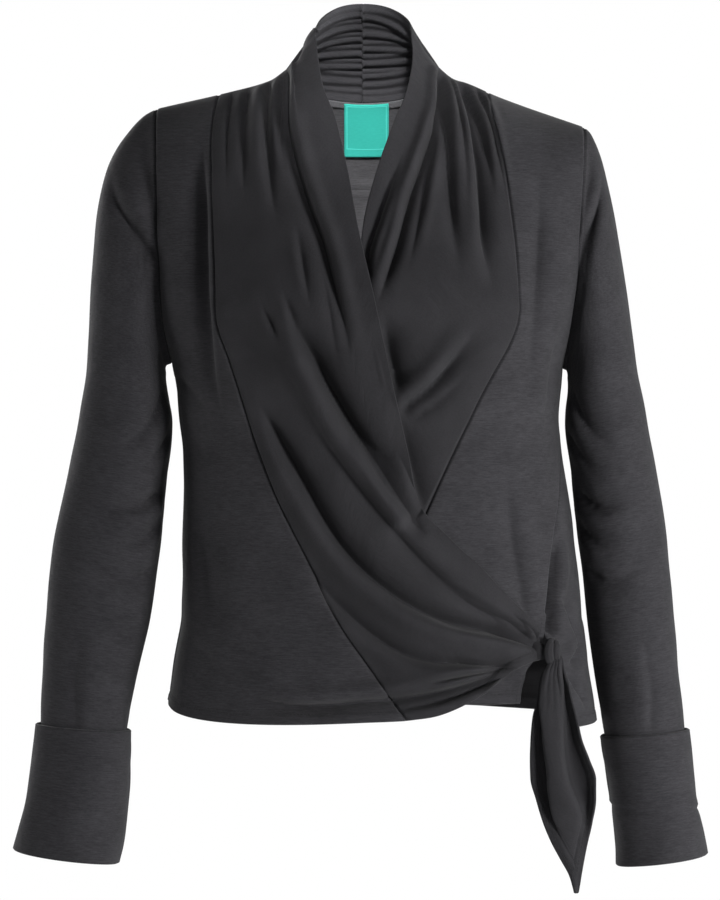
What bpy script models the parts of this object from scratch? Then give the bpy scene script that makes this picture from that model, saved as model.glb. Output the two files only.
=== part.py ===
"""A wrap jacket in soft jersey, in the form it has when worn, as separate cut pieces of cloth.

The origin is at the base of the neck, between the shoulders. The front faces -Y, +Z is up and the
wearer's left is +X. Tables and sizes are in millimetres and become metres in `add_mesh`.
"""

import math

import bmesh
import bpy
import numpy as np

MM = 0.001

# Cloth and seams
CLOTH = 1.8                 # wall of one layer of jersey
CUFF_CLOTH = 3.0            # a turned-back cuff is two layers
TRIM_CLOTH = 1.0            # neck tape and label
SEAM_GAP = 0.42             # clear space between two pieces at a seam
SLEEVE_GAP = 0.6            # the same round an armhole
LAYER_STEP = 3.3            # least distance between the middles of two layers that lie on each other

# General figure
ROUNDNESS = 2.3             # exponent of the torso's oval sections, 2 is an ellipse
SEAM_DEPTH = 8.0            # the shoulder seams lie this far behind the side seams
FRONT_ROLL = 70.0           # height over which the front rounds back to the shoulder seam
BACK_ROLL = 58.0
ARM_HALF_DEPTH = 46.0       # half the armhole, front to back
WIDEST_SHARE = 0.72         # of the body's depth that an armhole's half may take
UNDERLAP = 18.0             # the hidden part of the left front lies this far inside the right one
UNDERLAP_RUN = 44.0         # distance over which it sinks to that depth
UNDERLAP_START = 3.0        # it starts to sink this far behind the right front's free edge
OVERLAP_RISE = 4.5          # the right front lies this far outside the left one
RISE_RUN = 55.0             # distance from its panel seam over which it rises
COVER_RUN = 25.0            # beyond this distance from the seam it keeps clear of the left front
YOKE_CALM = 40.0            # the back's folds start within this distance below the yoke seam

# Row counts, shared by pieces that meet
ARM_ROWS = 10               # shoulder to underarm, front
SIDE_ROWS = 14              # underarm to hem
HEM_ROWS = 9                # along the hem to the knot
YOKE_ROWS = 4
BLADE_ROWS = 6              # yoke seam to underarm, back
SPLIT_ROW = 10              # the left side seam ends here, above the tie
DRAPE_COLUMNS = 22
SIDE_COLUMNS = 6
BACK_COLUMNS = 20
NECK_COLUMNS = 0.5          # share of the yoke's columns that end on the back neckline
COLLAR_ROWS = 24
COLLAR_COLUMNS = 7
CUFF_COLUMNS = 20

YOKE_SEAM = -81.0
PANEL_STEP = 2.0            # the panel seam's row beside the underarm lies this far below it
SHARP_EDGE = 50.0           # degrees between faces from which an edge is shaded sharp


def table(columns, rows):
    """A short table as a dictionary of named columns."""
    return dict(zip(columns.split(), np.array(rows, dtype=float).T))


BODY = table("height front back", [
    (60, 14, 40), (40, 24, 46), (20, 38, 54), (0, 54, 62), (-20, 68, 72), (-60, 85, 91),
    (-120, 106, 108), (-200, 122, 111), (-240, 122, 107), (-290, 117, 101), (-340, 111, 96),
    (-400, 108, 95), (-460, 109, 100), (-500, 112, 105), (-570, 117, 113),
])

# Half widths of the body below the underarm, and of the armhole edge above it
RIGHT_SIDE = table("height half_width", [
    (-240, 172), (-290, 165), (-320, 162), (-420, 161), (-460, 162), (-485, 166), (-520, 172), (-570, 179),
])
LEFT_SIDE = table("height half_width", [
    (-245, 171), (-290, 167), (-310, 168.5), (-361, 176), (-422, 183.5), (-480, 190), (-537, 198),
    (-570, 203),
])
RIGHT_ARM_EDGE = table("height half_width", [(-17, 186), (-100, 184), (-150, 182), (-200, 179), (-240, 172)])
LEFT_ARM_EDGE = table("height half_width", [(-33, 190), (-88, 187), (-141, 183), (-194, 178), (-245, 171)])

# Height of the shoulder line, and of the collar's line inside the neck point
RIGHT_SHOULDER = table("half_width height", [
    (0, 108), (45, 53), (54, 41), (60, 27), (73, 17), (86, 8), (123, -2.5), (186, -17), (205, -22),
])
LEFT_SHOULDER = table("half_width height", [
    (0, 108), (38, 54), (44, 44), (50, 34), (62, 20), (76, 9), (86, 6), (116, -7), (190, -33), (205, -38),
])
NECK_POINT = {-1: 73.0, 1: 64.0}
TIP = {-1: (-186.0, -17.0), 1: (190.0, -33.0)}
UNDERARM = {-1: (-172.0, -240.0), 1: (171.0, -245.0)}
SIDE_HEM = {-1: -537.0, 1: -556.0}

# The left side seam is drawn forward by the tie, and its two edges part above the hem
LEFT_SEAM = table("height front_edge back_edge", [
    (-245, 171, 171), (-273, 168.2, 168.2), (-308, 168, 168), (-343, 166.5, 166.5), (-378, 163, 163),
    (-414, 158, 158), (-449, 154, 154), (-466, 151.5, 151.5), (-480, 149.5, 153.5), (-502, 143, 161),
    (-520, 140, 169), (-540, 138, 174), (-560, 137, 177),
])
SEAM_SPLIT = -466.0
LEFT_FRONT_HEM = -533.0
HEM_DROOP = {-1: 8.0, 1: 1.0}    # how far a side front's hem dips between its seams
SEAM_CALM = 13.0            # folds are sewn flat within this distance of the shoulder line

# Draped fronts, one row across the strip: free edge, middle and panel seam (then hem)
DRAPE_COLUMN_NAMES = "edge_x edge_z mid_x mid_z seam_x seam_z"
RIGHT_DRAPE = table(DRAPE_COLUMN_NAMES, [
    (-45, 53, -73, 17, -131, -4),
    (-42, 18, -70, -8, -136, -44),
    (-38, -9, -69, -35, -135, -78),
    (-29, -31, -66, -56, -135, -97),
    (-18, -78, -56, -92, -133, -135),
    (-9, -128, -42, -132, -131, -175),
    (6, -194, -26, -190, -130, -208),
    (19, -255, -14, -240, -118, -242),
    (33, -317, 0, -300, -101, -296),
    (41, -356, 12, -350, -77, -361),
    (50, -374, 24, -385, -51, -414),
    (63, -387, 38, -410, -25, -466),
    (81, -405, 56, -437, 2, -505),
    (90, -413, 70, -450, 32, -547),
    (99, -422, 82, -460, 62, -542),
    (115, -440, 102, -470, 94, -527),
    (132, -457, 124, -475, 121, -507),
    (141, -469, 139, -480, 137, -499),
    (145, -481, 145, -488, 145, -497),
])
LEFT_DRAPE = table(DRAPE_COLUMN_NAMES, [
    (38, 54, 64, 18, 105, -2),
    (39, 24, 61, -5, 107, -25),
    (33, -9, 60, -25, 112, -48),
    (24, -31, 54, -45, 117, -72),
    (12, -64, 42, -78, 122, -104),
    (2, -97, 33, -108, 127, -141),
    (-4, -125, 22, -145, 130, -176),
    (-8, -160, 12, -178, 131, -200),
    (-12, -200, 5, -210, 123, -224),
    (-18, -245, -3, -255, 106, -254),
    (-28, -295, -10, -305, 85, -295),
    (-36, -335, -20, -350, 64, -338),
    (-43, -365, -28, -385, 44, -382),
    (-58, -385, -40, -415, 15, -440),
    (-76, -405, -58, -440, -10, -490),
    (-90, -418, -76, -455, -32, -531),
    (-105, -432, -95, -465, -72, -528),
    (-125, -452, -118, -475, -110, -520),
    (-141, -468, -140, -485, -141, -510),
])
MID_SHARE = 0.3             # where the middle column lies across the strip
RIGHT_CORNER = 13           # table row where the panel seam meets the hem
LEFT_CORNER = 15

# Folds: a path on the front (x, z), how deep and wide the trough is, the height of the soft ridge
# beside it as a share of the depth (its sign gives the side), and how far each end fades
RIGHT_FOLDS = (
    # lapel strip
    dict(path=((-69, 10), (-69, -35), (-62, -70), (-51, -106), (-38, -141), (-29, -176), (-20, -211),
               (-13, -245)),
         depth=7.0, width=6.5, ridge=0.45, fade=(0.0, 0.45)),
    # pleats from the shoulder seam
    dict(path=((-87, 4), (-88, -40), (-84, -90), (-76, -130)), depth=6.0, width=6.5, ridge=-0.3,
         fade=(0.0, 0.6)),
    dict(path=((-105, 0), (-108, -45), (-106, -110)), depth=4.0, width=7.5, ridge=-0.3, fade=(0.0, 0.6)),
    dict(path=((-62, -110), (-54, -150), (-47, -200)), depth=4.5, width=6.5, ridge=-0.3, fade=(0.5, 0.5)),
    # long folds to the knot
    dict(path=((-72, -196), (-50, -235), (-22, -288), (14, -335), (44, -374)),
         depth=15.0, width=10.5, ridge=-0.4, fade=(0.28, 0.2)),
    dict(path=((-99, -265), (-66, -330), (-24, -400), (22, -442), (63, -462), (112, -474), (146, -487)),
         depth=11.0, width=10.0, ridge=-0.35, fade=(0.25, 0.1)),
    dict(path=((-70, -242), (-34, -312), (12, -374), (60, -426), (105, -454), (138, -474)),
         depth=4.0, width=9.0, ridge=0.3, fade=(0.4, 0.3)),
    dict(path=((-66, -395), (-30, -446), (20, -486), (63, -499), (105, -500), (130, -498)),
         depth=8.0, width=8.0, ridge=-0.35, fade=(0.5, 0.1)),
    dict(path=((6, -522), (40, -517), (75, -511), (128, -503)), depth=5.0, width=6.5, ridge=0.3,
         fade=(0.5, 0.15)),
    dict(path=((-112, -537), (-60, -541), (-16, -539), (28, -533), (63, -524), (99, -514), (126, -505)),
         depth=9.5, width=8.0, ridge=-0.3, fade=(0.35, 0.15)),
    # the side front hangs a little hollow beside the panel seam
    dict(path=((-144, -60), (-142, -150), (-140, -220), (-122, -290)), depth=7.0, width=11.0, ridge=-0.35,
         fade=(0.4, 0.5)),
    dict(path=((-148, -350), (-140, -430), (-128, -500)),
         depth=4.0, width=12.0, ridge=-0.3, fade=(0.5, 0.5)),
)
LEFT_FOLDS = (
    dict(path=((63, 12), (62, -13), (57, -36), (47, -67), (36, -98), (27, -132), (19, -158), (8, -190)),
         depth=6.0, width=5.5, ridge=-0.6, fade=(0.0, 0.25)),
    dict(path=((30, -60), (19, -92), (8, -125), (0, -152), (2, -185)), depth=5.0, width=5.5, ridge=0.3,
         fade=(0.5, 0.3)),
    dict(path=((69, 14), (70, -30), (73, -80), (77, -125), (84, -175)), depth=5.0, width=6.0, ridge=0.3,
         fade=(0.0, 0.5)),
    dict(path=((79, 8), (88, -28), (93, -62), (97, -106), (99, -141), (108, -182)), depth=9.5, width=7.5,
         ridge=-0.35, fade=(0.0, 0.35)),
    dict(path=((84, 4), (97, -28), (104, -62), (110, -100)), depth=3.5, width=5.0, ridge=0.2,
         fade=(0.0, 0.6)),
    # cross fold under the bust, and the hollow beside the right front's edge
    dict(path=((24, -285), (55, -262), (81, -230), (98, -208)), depth=8.5, width=10.0, ridge=0.5,
         fade=(0.1, 0.6)),
    dict(path=((10, -200), (17, -232), (28, -275)), depth=6.0, width=9.0, ridge=-0.2, fade=(0.4, 0.4)),
    # side front
    dict(path=((146, -60), (148, -130), (144, -210), (136, -300)), depth=5.0, width=12.0, ridge=0.3,
         fade=(0.4, 0.5)),
    dict(path=((118, -330), (126, -400), (138, -462)), depth=4.5, width=10.0, ridge=0.3, fade=(0.5, 0.2)),
)
# A trough's wall towards its ridge is steeper than the other, and the ridge lies beside it; all
# these are shares of the fold's width
STEEP_SIDE, GENTLE_SIDE = 0.85, 1.5
RIDGE_PLACE, RIDGE_WIDTH = 1.8, 1.2

# The same, round the back: x is the distance round the body from the centre back, left side positive
BACK_FOLDS = (
    dict(path=((262, -478), (215, -462), (160, -450), (110, -448)), depth=6.0, width=11.0, ridge=0.3,
         fade=(0.5, 0.5)),
    dict(path=((258, -500), (205, -508), (150, -520), (95, -525)), depth=6.0, width=11.0, ridge=-0.3,
         fade=(0.5, 0.5)),
    dict(path=((236, -300), (240, -380), (252, -455)), depth=5.0, width=10.0, ridge=-0.3, fade=(0.4, 0.2)),
    dict(path=((60, -330), (66, -430), (74, -560)), depth=5.5, width=17.0, ridge=0.3, fade=(0.5, 0.0)),
    dict(path=((-52, -350), (-60, -450), (-66, -560)), depth=5.5, width=17.0, ridge=-0.3, fade=(0.5, 0.0)),
    dict(path=((-128, -300), (-136, -420), (-146, -545)),
         depth=5.0, width=15.0, ridge=-0.3, fade=(0.5, 0.0)),
    dict(path=((150, -120), (120, -190), (112, -260)), depth=4.5, width=13.0, ridge=0.3, fade=(0.3, 0.6)),
    dict(path=((-150, -120), (-120, -190), (-112, -260)),
         depth=4.5, width=13.0, ridge=-0.3, fade=(0.3, 0.6)),
)
# Round a sleeve: x is the distance round from its outer line, front positive, and z the place down it
SLEEVE_FOLDS = (
    dict(path=((10, -70), (45, -110), (78, -160)), depth=6.0, width=9.0, ridge=0.4, fade=(0.4, 0.3)),
    dict(path=((128, -262), (96, -300), (60, -318)), depth=6.0, width=9.0, ridge=0.3, fade=(0.2, 0.6)),
    dict(path=((-128, -262), (-90, -296), (-56, -310)), depth=6.0, width=9.0, ridge=-0.3, fade=(0.2, 0.6)),
    dict(path=((130, -392), (95, -408), (58, -402)), depth=6.5, width=9.0, ridge=0.4, fade=(0.2, 0.6)),
    dict(path=((130, -440), (92, -446), (50, -428)), depth=5.5, width=9.0, ridge=-0.3, fade=(0.2, 0.6)),
    dict(path=((-128, -400), (-92, -416), (-50, -408)), depth=5.5, width=9.0, ridge=0.3, fade=(0.2, 0.6)),
    dict(path=((-60, -150), (-66, -240), (-58, -330)), depth=4.5, width=12.0, ridge=0.3, fade=(0.4, 0.5)),
)

# Rings down each sleeve: the outer and the inner point of the ring, and half its depth
SLEEVE_COLUMN_NAMES = "outer_x outer_z inner_x inner_z half_depth"
RIGHT_SLEEVE = table(SLEEVE_COLUMN_NAMES, [
    (-197, -24, -177.5, -242, 45.5),
    (-209, -36, -179, -246, 48.5),
    (-221, -53, -178.5, -250, 50.5),
    (-231, -77, -178.5, -255, 51.5),
    (-238, -112, -177.5, -263, 52),
    (-242, -160, -175.5, -275, 52),
    (-245, -216, -173, -292, 51),
    (-250, -268, -174, -316, 49.5),
    (-260, -322, -178.5, -352, 48.5),
    (-270, -370, -182, -388, 47.5),
    (-278, -412, -186, -424, 47),
    (-282, -455, -192.5, -464, 45),
    (-286, -510, -204, -516, 41.5),
    (-286.8, -558, -213, -563, 38.5),
    (-287.8, -573, -215, -578, 37.6),
])
LEFT_SLEEVE = table(SLEEVE_COLUMN_NAMES, [
    (196, -40, 175, -246.5, 45.5),
    (203, -56, 176.5, -251, 49),
    (209, -78, 176.5, -255, 52),
    (215.5, -108, 176.8, -260, 52.5),
    (222, -146, 176.5, -268, 52),
    (229, -195, 175, -281, 51),
    (237, -248, 174.5, -301, 49),
    (247, -303, 178.5, -332, 46.5),
    (257, -358, 183, -374, 43.5),
    (263, -405, 188, -415, 41.5),
    (268, -455, 193.5, -462, 40),
    (273, -512, 200.5, -518, 38),
    (277.5, -563, 209, -568, 36),
    (278.5, -578, 211.5, -582, 35.6),
])
RIGHT_CUFF = table(SLEEVE_COLUMN_NAMES, [
    (-290.5, -558, -209.8, -564, 41.4),
    (-292.5, -574, -209.6, -580, 42.4),
    (-296.5, -602, -210.5, -608, 43.6),
    (-301, -628, -213, -636, 44.8),
    (-306.5, -652, -216.5, -662, 46),
    (-311, -667, -220, -679, 46.8),
])
LEFT_CUFF = table(SLEEVE_COLUMN_NAMES, [
    (281, -563, 205.5, -569, 39),
    (283, -578, 207.6, -584, 39.6),
    (286, -604, 212, -610, 40.4),
    (289.2, -629, 216.5, -637, 41.4),
    (294, -653, 219.5, -664, 42.4),
    (298, -671, 219.5, -681, 43),
])
CUFF_STEPS = 6               # rings down a cuff
SLEEVE_STEPS = 1.1           # rings down a sleeve for each row of its table
SLEEVE_ROUND = 46.0          # radius by which the folds' distance round a sleeve is measured

# Collar: top edge at the side and at the centre back
COLLAR_TOP = {-1: (-45.0, 53.0), 1: (38.0, 54.0)}
COLLAR_BACK_X = -5.0
COLLAR_BULGE = 4.5
COLLAR_BACK_TOP = 82.0
COLLAR_BACK_DEPTH = 61.0
COLLAR_CLEAR = 1.15         # between the back neckline and the collar's lower edge
COLLAR_LEAN = 0.85          # how early the top edge turns inward from the side, as a power
COLLAR_CLIMB = 1.2          # how late it rises towards the centre back, as a power
RUCHES = 6                  # gathers on the centre back seam
RUCHE_HEIGHT = 2.6
RUCHE_REACH = 34.0          # how far a gather runs from the centre back
RUCHE_SLOPE = 0.011
RUCHE_START, RUCHE_RAMP = 0.08, 0.15    # shares of the collar's height where gathers begin and are full

NECK_LOW = -6.0             # back neckline at the centre back
TAPE_HALF = 38.0
TAPE_HEIGHT = 5.0
LABEL_LEFT, LABEL_RIGHT = -21.0, 18.5
LABEL_TOP, LABEL_LENGTH = 1.0, 49.0      # both measured down from the neckline
TRIM_GAP = 0.4              # between the yoke, the tape and the label
TAPE_COLUMNS, LABEL_COLUMNS = 13, 6
TRIM_ROW = 7.0              # height of a row of the trim's grid

# Knot and hanging end of the tie
KNOT_CENTRE = (160.0, -84.0, -493.0)
KNOT_RADII = (9.2, 8.6, 11.0)
KNOT_RINGS, KNOT_SEGMENTS = 9, 16
KNOT_GROOVES, GROOVE_DEPTH, GROOVE_SLANT = 3, 0.07, 2.2
TAIL = table("height left right", [
    (-505, 153.5, 165), (-517, 150, 171), (-532, 147, 175), (-548, 142, 179), (-566, 140.5, 183),
    (-583, 140, 189.5), (-600, 140.5, 195), (-617, 145, 195), (-637, 151, 192), (-654, 158, 188),
    (-669, 166, 185), (-683, 173.5, 182.5), (-697, 177.5, 180.3),
])
TAIL_ROWS = 17
TAIL_COLUMNS = 11
TAIL_BEHIND = 2.0           # the strip's middle lies this far behind the knot's
TAIL_WIDTH, WIDEST_FOLD = 40.0, 1.3     # folds are full at this width and grow to this share of it
# Across the tail, from its left edge: how far each part lies in front of the strip's middle
TAIL_FOLD = table("share forward", [
    (0, -5), (0.16, -4.5), (0.26, 4), (0.5, 5.5), (0.62, 4), (0.76, -5), (0.88, -2.5), (1, 2.5),
])

# Colours (linear) of the materials
CHARCOAL = (0.022, 0.022, 0.024)
HEATHER = (0.036, 0.036, 0.039)
COLLAR_GREY = (0.060, 0.060, 0.065)
TAPE_GREY = (0.16, 0.16, 0.17)
TEAL = (0.05, 0.44, 0.38)


def curve(at, places, values):
    """Smooth line through a table's points, without overshoot."""
    at = np.asarray(at, dtype=float)
    places, values = np.asarray(places, dtype=float), np.asarray(values, dtype=float)
    if places[0] > places[-1]:
        places, values = places[::-1], values[::-1]
    steps = np.diff(places)
    slopes = np.diff(values) / steps
    same = slopes[:-1] * slopes[1:] > 0
    total = np.where(same, slopes[:-1] + slopes[1:], 1.0)
    inner = np.where(same, 2 * slopes[:-1] * slopes[1:] / total, 0.0)
    tangents = np.concatenate([[slopes[0]], inner, [slopes[-1]]])
    at = np.clip(at, places[0], places[-1])
    k = np.clip(np.searchsorted(places, at, side="right") - 1, 0, len(steps) - 1)
    t = (at - places[k]) / steps[k]
    return (values[k] * (1 + 2 * t) * (1 - t) ** 2 + tangents[k] * steps[k] * t * (1 - t) ** 2
            + values[k + 1] * t * t * (3 - 2 * t) - tangents[k + 1] * steps[k] * t * t * (1 - t))


def spline(at, points):
    """Catmull-Rom curve through points, read at fractional row numbers."""
    points = np.asarray(points, dtype=float)
    padded = np.vstack([2 * points[0] - points[1], points, 2 * points[-1] - points[-2]])
    at = np.clip(np.asarray(at, dtype=float), 0, len(points) - 1)
    k = np.minimum(at.astype(int), len(points) - 2)
    t = (at - k)[..., None]
    a, b, c, d = (padded[k + step] for step in range(4))
    square, cube = 2 * a - 5 * b + 4 * c - d, 3 * b - a - 3 * c + d
    return 0.5 * (2 * b + (c - a) * t + square * t ** 2 + cube * t ** 3)


def smoothstep(value):
    value = np.clip(value, 0.0, 1.0)
    return value * value * (3 - 2 * value)


# ---------------------------------------------------------------- body form

def arm_share(height, side):
    """How deep the armhole is at a height, as a share of its half depth."""
    top, low = TIP[side][1], UNDERARM[side][1]
    middle, half = (top + low) / 2, (top - low) / 2
    below = np.clip((middle - height) / half, 0.0, 1.0)
    return np.sqrt(1 - below ** 2)


def half_width(height, side, depth):
    """Half width of the torso's oval, widened above the underarm so that it passes the armhole edge."""
    sides, edges = (RIGHT_SIDE, RIGHT_ARM_EDGE) if side < 0 else (LEFT_SIDE, LEFT_ARM_EDGE)
    below = curve(height, sides["height"], sides["half_width"])
    edge = curve(height, edges["height"], edges["half_width"])
    share = np.minimum(ARM_HALF_DEPTH * arm_share(height, side) / depth, WIDEST_SHARE)
    above = edge / (1 - share ** ROUNDNESS) ** (1 / ROUNDNESS)
    return np.where(height < UNDERARM[side][1], below, above)


def shoulder_height(x):
    right = curve(-x, RIGHT_SHOULDER["half_width"], RIGHT_SHOULDER["height"])
    left = curve(x, LEFT_SHOULDER["half_width"], LEFT_SHOULDER["height"])
    return np.where(x < 0, right, left)


def body(angle, height):
    """Point of the general figure's form. Angle 0 is the centre front, 90 degrees the left side."""
    sine, cosine = np.sin(angle), np.cos(angle)
    front = cosine >= 0
    front_depth = curve(height, BODY["height"], BODY["front"])
    back_depth = curve(height, BODY["height"], BODY["back"])
    depth = np.where(front, front_depth, back_depth)
    half = np.where(sine < 0, half_width(height, -1, depth), half_width(height, 1, depth))
    x = np.sign(sine) * half * np.abs(sine) ** (2 / ROUNDNESS)
    y = np.where(front, -depth, depth) * np.abs(cosine) ** (2 / ROUNDNESS)
    roll = np.where(front, FRONT_ROLL, BACK_ROLL)
    drop = np.clip((shoulder_height(x) - height) / roll, 0.0, 1.0)
    y = SEAM_DEPTH + (y - SEAM_DEPTH) * np.sqrt(1 - (1 - drop) ** 2)
    return np.stack([x, y, height + 0 * x], axis=-1)


def angle_at(x, height, front=True):
    """The angle round the body at which its form passes x."""
    x, height = np.asarray(x, dtype=float), np.asarray(height, dtype=float)
    depth = curve(height, BODY["height"], BODY["front" if front else "back"])
    half = np.where(x < 0, half_width(height, -1, depth), half_width(height, 1, depth))
    angle = np.arcsin(np.clip(np.abs(x) / half, 0, 1) ** (ROUNDNESS / 2)) * np.sign(x)
    return angle if front else math.pi - angle


def unit(vectors):
    return vectors / np.linalg.norm(vectors, axis=-1, keepdims=True)


def form_normals(form, angle, height):
    """Outward normals of a form, from small steps round the body and down."""
    turn, step = 1e-4, 0.02
    across = form(angle + turn, height) - form(angle - turn, height)
    up = form(angle, height) - form(angle, height - step)
    return unit(np.cross(across, up))


# ---------------------------------------------------------------- folds and layers

def path_distance(x, z, path):
    """Signed distance from a smooth path (left of it positive) and the place along it, 0 to 1."""
    line = spline(np.linspace(0, len(path) - 1, 6 * (len(path) - 1) + 1), path)
    start, run = line[:-1], np.diff(line, axis=0)
    length = np.linalg.norm(run, axis=1)
    total = np.concatenate([[0], np.cumsum(length)])
    away_x = x[..., None] - start[:, 0]
    away_z = z[..., None] - start[:, 1]
    share = np.clip((away_x * run[:, 0] + away_z * run[:, 1]) / length ** 2, 0, 1)
    gap = np.hypot(away_x - share * run[:, 0], away_z - share * run[:, 1])
    nearest = np.argmin(gap, axis=-1)[..., None]
    pick = lambda values: np.take_along_axis(values, nearest, axis=-1)[..., 0]
    turn = pick(run[:, 0] * away_z - run[:, 1] * away_x)
    place = pick(total[:-1] + share * length) / total[-1]
    return pick(gap) * np.where(turn < 0, -1.0, 1.0), place


def fold_relief(x, z, folds):
    """Height of the cloth above its smooth form: soft troughs, each with a ridge beside it."""
    relief = np.zeros(np.broadcast(x, z).shape)
    for fold in folds:
        away, place = path_distance(x, z, fold["path"])
        fade_in, fade_out = fold["fade"]
        strength = np.ones_like(place)
        if fade_in > 0:
            strength = strength * smoothstep(place / fade_in)
        if fade_out > 0:
            strength = strength * smoothstep((1 - place) / fade_out)
        across = away * math.copysign(1.0, fold["ridge"])
        width = fold["width"] * np.where(across > 0, STEEP_SIDE, GENTLE_SIDE)
        trough = np.exp(-(across / width) ** 2)
        beside = across - RIDGE_PLACE * fold["width"]
        ridge = abs(fold["ridge"]) * np.exp(-(beside / (RIDGE_WIDTH * fold["width"])) ** 2)
        relief = relief + fold["depth"] * strength * (ridge - trough)
    return relief


RIGHT_EDGE_PATH = np.stack([RIGHT_DRAPE["edge_x"], RIGHT_DRAPE["edge_z"]], axis=1)
RIGHT_SEAM_PATH = np.stack([RIGHT_DRAPE["seam_x"], RIGHT_DRAPE["seam_z"]], axis=1)[:RIGHT_CORNER + 1]


def sewn_flat(x, z):
    """0 on the shoulder line, where the pleats are stitched down, and 1 a little below it."""
    return smoothstep((shoulder_height(x) - z) / SEAM_CALM)


def left_relief(x, z):
    """The left front, which goes under the right one and lies further in there."""
    under = -path_distance(x, z, RIGHT_EDGE_PATH)[0]
    hidden = smoothstep((under - UNDERLAP_START) / UNDERLAP_RUN)
    return sewn_flat(x, z) * fold_relief(x, z, LEFT_FOLDS) * (1 - hidden) - UNDERLAP * hidden


def right_relief(x, z):
    """The right front, which rises from its panel seam to lie over the left one."""
    from_seam = path_distance(x, z, RIGHT_SEAM_PATH)[0]
    rise = OVERLAP_RISE * smoothstep(from_seam / RISE_RUN)
    raw = sewn_flat(x, z) * (rise + fold_relief(x, z, RIGHT_FOLDS))
    least = left_relief(x, z) + LAYER_STEP
    covers = smoothstep(from_seam / COVER_RUN)
    return np.where(raw < least, raw + (least - raw) * covers, raw)


def back_relief(x, y, z):
    """Folds of the back, by the distance round the body from the centre back."""
    round_body = np.where(y > 0, x, np.sign(x) * (np.abs(x) + np.abs(np.minimum(y, 0))))
    return fold_relief(round_body, z, BACK_FOLDS)


def front_form(relief):
    """Form of one front layer, as a function of angle and height."""
    def form(angle, height):
        point = body(angle, height)
        normal = form_normals(body, angle, height)
        return point + normal * relief(point[..., 0], height + 0 * angle)[..., None]
    return form


def back_form(angle, height):
    point = body(angle, height)
    normal = form_normals(body, angle, height)
    relief = back_relief(point[..., 0], point[..., 1], height + 0 * angle)
    calm = smoothstep((YOKE_SEAM - height) / YOKE_CALM)
    return point + normal * (relief * calm)[..., None]


# ---------------------------------------------------------------- meshes

def add_material(name, colour, roughness):
    material = bpy.data.materials.new(name)
    material.use_nodes = True
    shader = material.node_tree.nodes["Principled BSDF"]
    shader.inputs["Base Color"].default_value = (*colour, 1.0)
    shader.inputs["Roughness"].default_value = roughness
    shader.inputs["Metallic"].default_value = 0.0
    return material


def add_mesh(name, points, faces, colour, roughness=0.9):
    """One closed body, in metres, faces outward, shaded smooth with sharp cut edges."""
    mesh = bpy.data.meshes.new(name)
    mesh.from_pydata([tuple(point) for point in np.asarray(points) * MM], [], faces)
    shape = bmesh.new()
    shape.from_mesh(mesh)
    bmesh.ops.recalc_face_normals(shape, faces=shape.faces)
    shape.to_mesh(mesh)
    shape.free()
    mesh.shade_smooth()
    mesh.set_sharp_from_angle(angle=math.radians(SHARP_EDGE))
    mesh.materials.append(add_material(name + "_cloth", colour, roughness))
    item = bpy.data.objects.new(name, mesh)
    bpy.context.collection.objects.link(item)
    return item


def wall(name, middle, normals, thickness, colour, closed=False):
    """A cloth wall about a grid of middle points. A closed grid joins its last column to its first."""
    rows, columns = middle.shape[:2]
    outside = (middle + normals * thickness / 2).reshape(-1, 3)
    inside = (middle - normals * thickness / 2).reshape(-1, 3)
    shift = rows * columns
    spans = columns if closed else columns - 1
    faces = []
    for row in range(rows - 1):
        for column in range(spans):
            beside = (column + 1) % columns
            corner = [row * columns + column, row * columns + beside,
                      (row + 1) * columns + beside, (row + 1) * columns + column]
            faces.append(corner)
            faces.append([shift + index for index in reversed(corner)])
    for row in (0, rows - 1):
        for column in range(spans):
            a, b = row * columns + column, row * columns + (column + 1) % columns
            faces.append([a, shift + a, shift + b, b] if row == 0 else [b, shift + b, shift + a, a])
    if not closed:
        for column in (0, columns - 1):
            for row in range(rows - 1):
                a, b = row * columns + column, (row + 1) * columns + column
                faces.append([b, shift + b, shift + a, a] if column == 0 else [a, shift + a, shift + b, b])
    return add_mesh(name, np.vstack([outside, inside]), faces, colour)


def grid_normals(middle, outward, closed=False):
    """Normals of a grid from its neighbours, turned to face along `outward`."""
    if closed:
        across = np.roll(middle, -1, axis=1) - np.roll(middle, 1, axis=1)
    else:
        across = np.gradient(middle, axis=1)
    along = np.gradient(middle, axis=0)
    normals = unit(np.cross(across, along))
    wrong = np.sum(normals * outward, axis=-1) < 0
    normals[wrong] *= -1
    return normals


# ---------------------------------------------------------------- rows shared at the seams

def arm_heights(side, rows):
    """Heights down the armhole, closer together at the shoulder and the underarm."""
    top, low = TIP[side][1], UNDERARM[side][1]
    turn = np.linspace(0, math.pi, rows + 1)
    return (top + low) / 2 + (top - low) / 2 * np.cos(turn)


def drape_rows(drape, corner, side):
    """Table places of the draped front's rows, set by the rows of the side front beside it."""
    places = np.linspace(0, corner, 400)
    seam = spline(places, np.stack([drape["seam_x"], drape["seam_z"]], axis=1)[:corner + 1])
    arm = arm_heights(side, ARM_ROWS)
    share = (arm - arm[0]) / (arm[-1] - arm[0])
    top, low = drape["seam_z"][0], UNDERARM[side][1] - PANEL_STEP
    heights = np.concatenate([top + share * (low - top),
                              np.linspace(low, drape["seam_z"][corner], SIDE_ROWS + 1)[1:]])
    found = np.interp(-heights, -seam[:, 1], places)
    last = len(drape["seam_x"]) - 1
    return np.concatenate([found, np.linspace(corner, last, HEM_ROWS + 1)[1:]])


def seam_points(drape, corner, places):
    """The panel seam and then the hem, with a corner between them."""
    points = np.stack([drape["seam_x"], drape["seam_z"]], axis=1)
    upper = spline(np.minimum(places, corner), points[:corner + 1])
    lower = spline(np.maximum(places - corner, 0), points[corner:])
    return np.where((places <= corner)[:, None], upper, lower)


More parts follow.
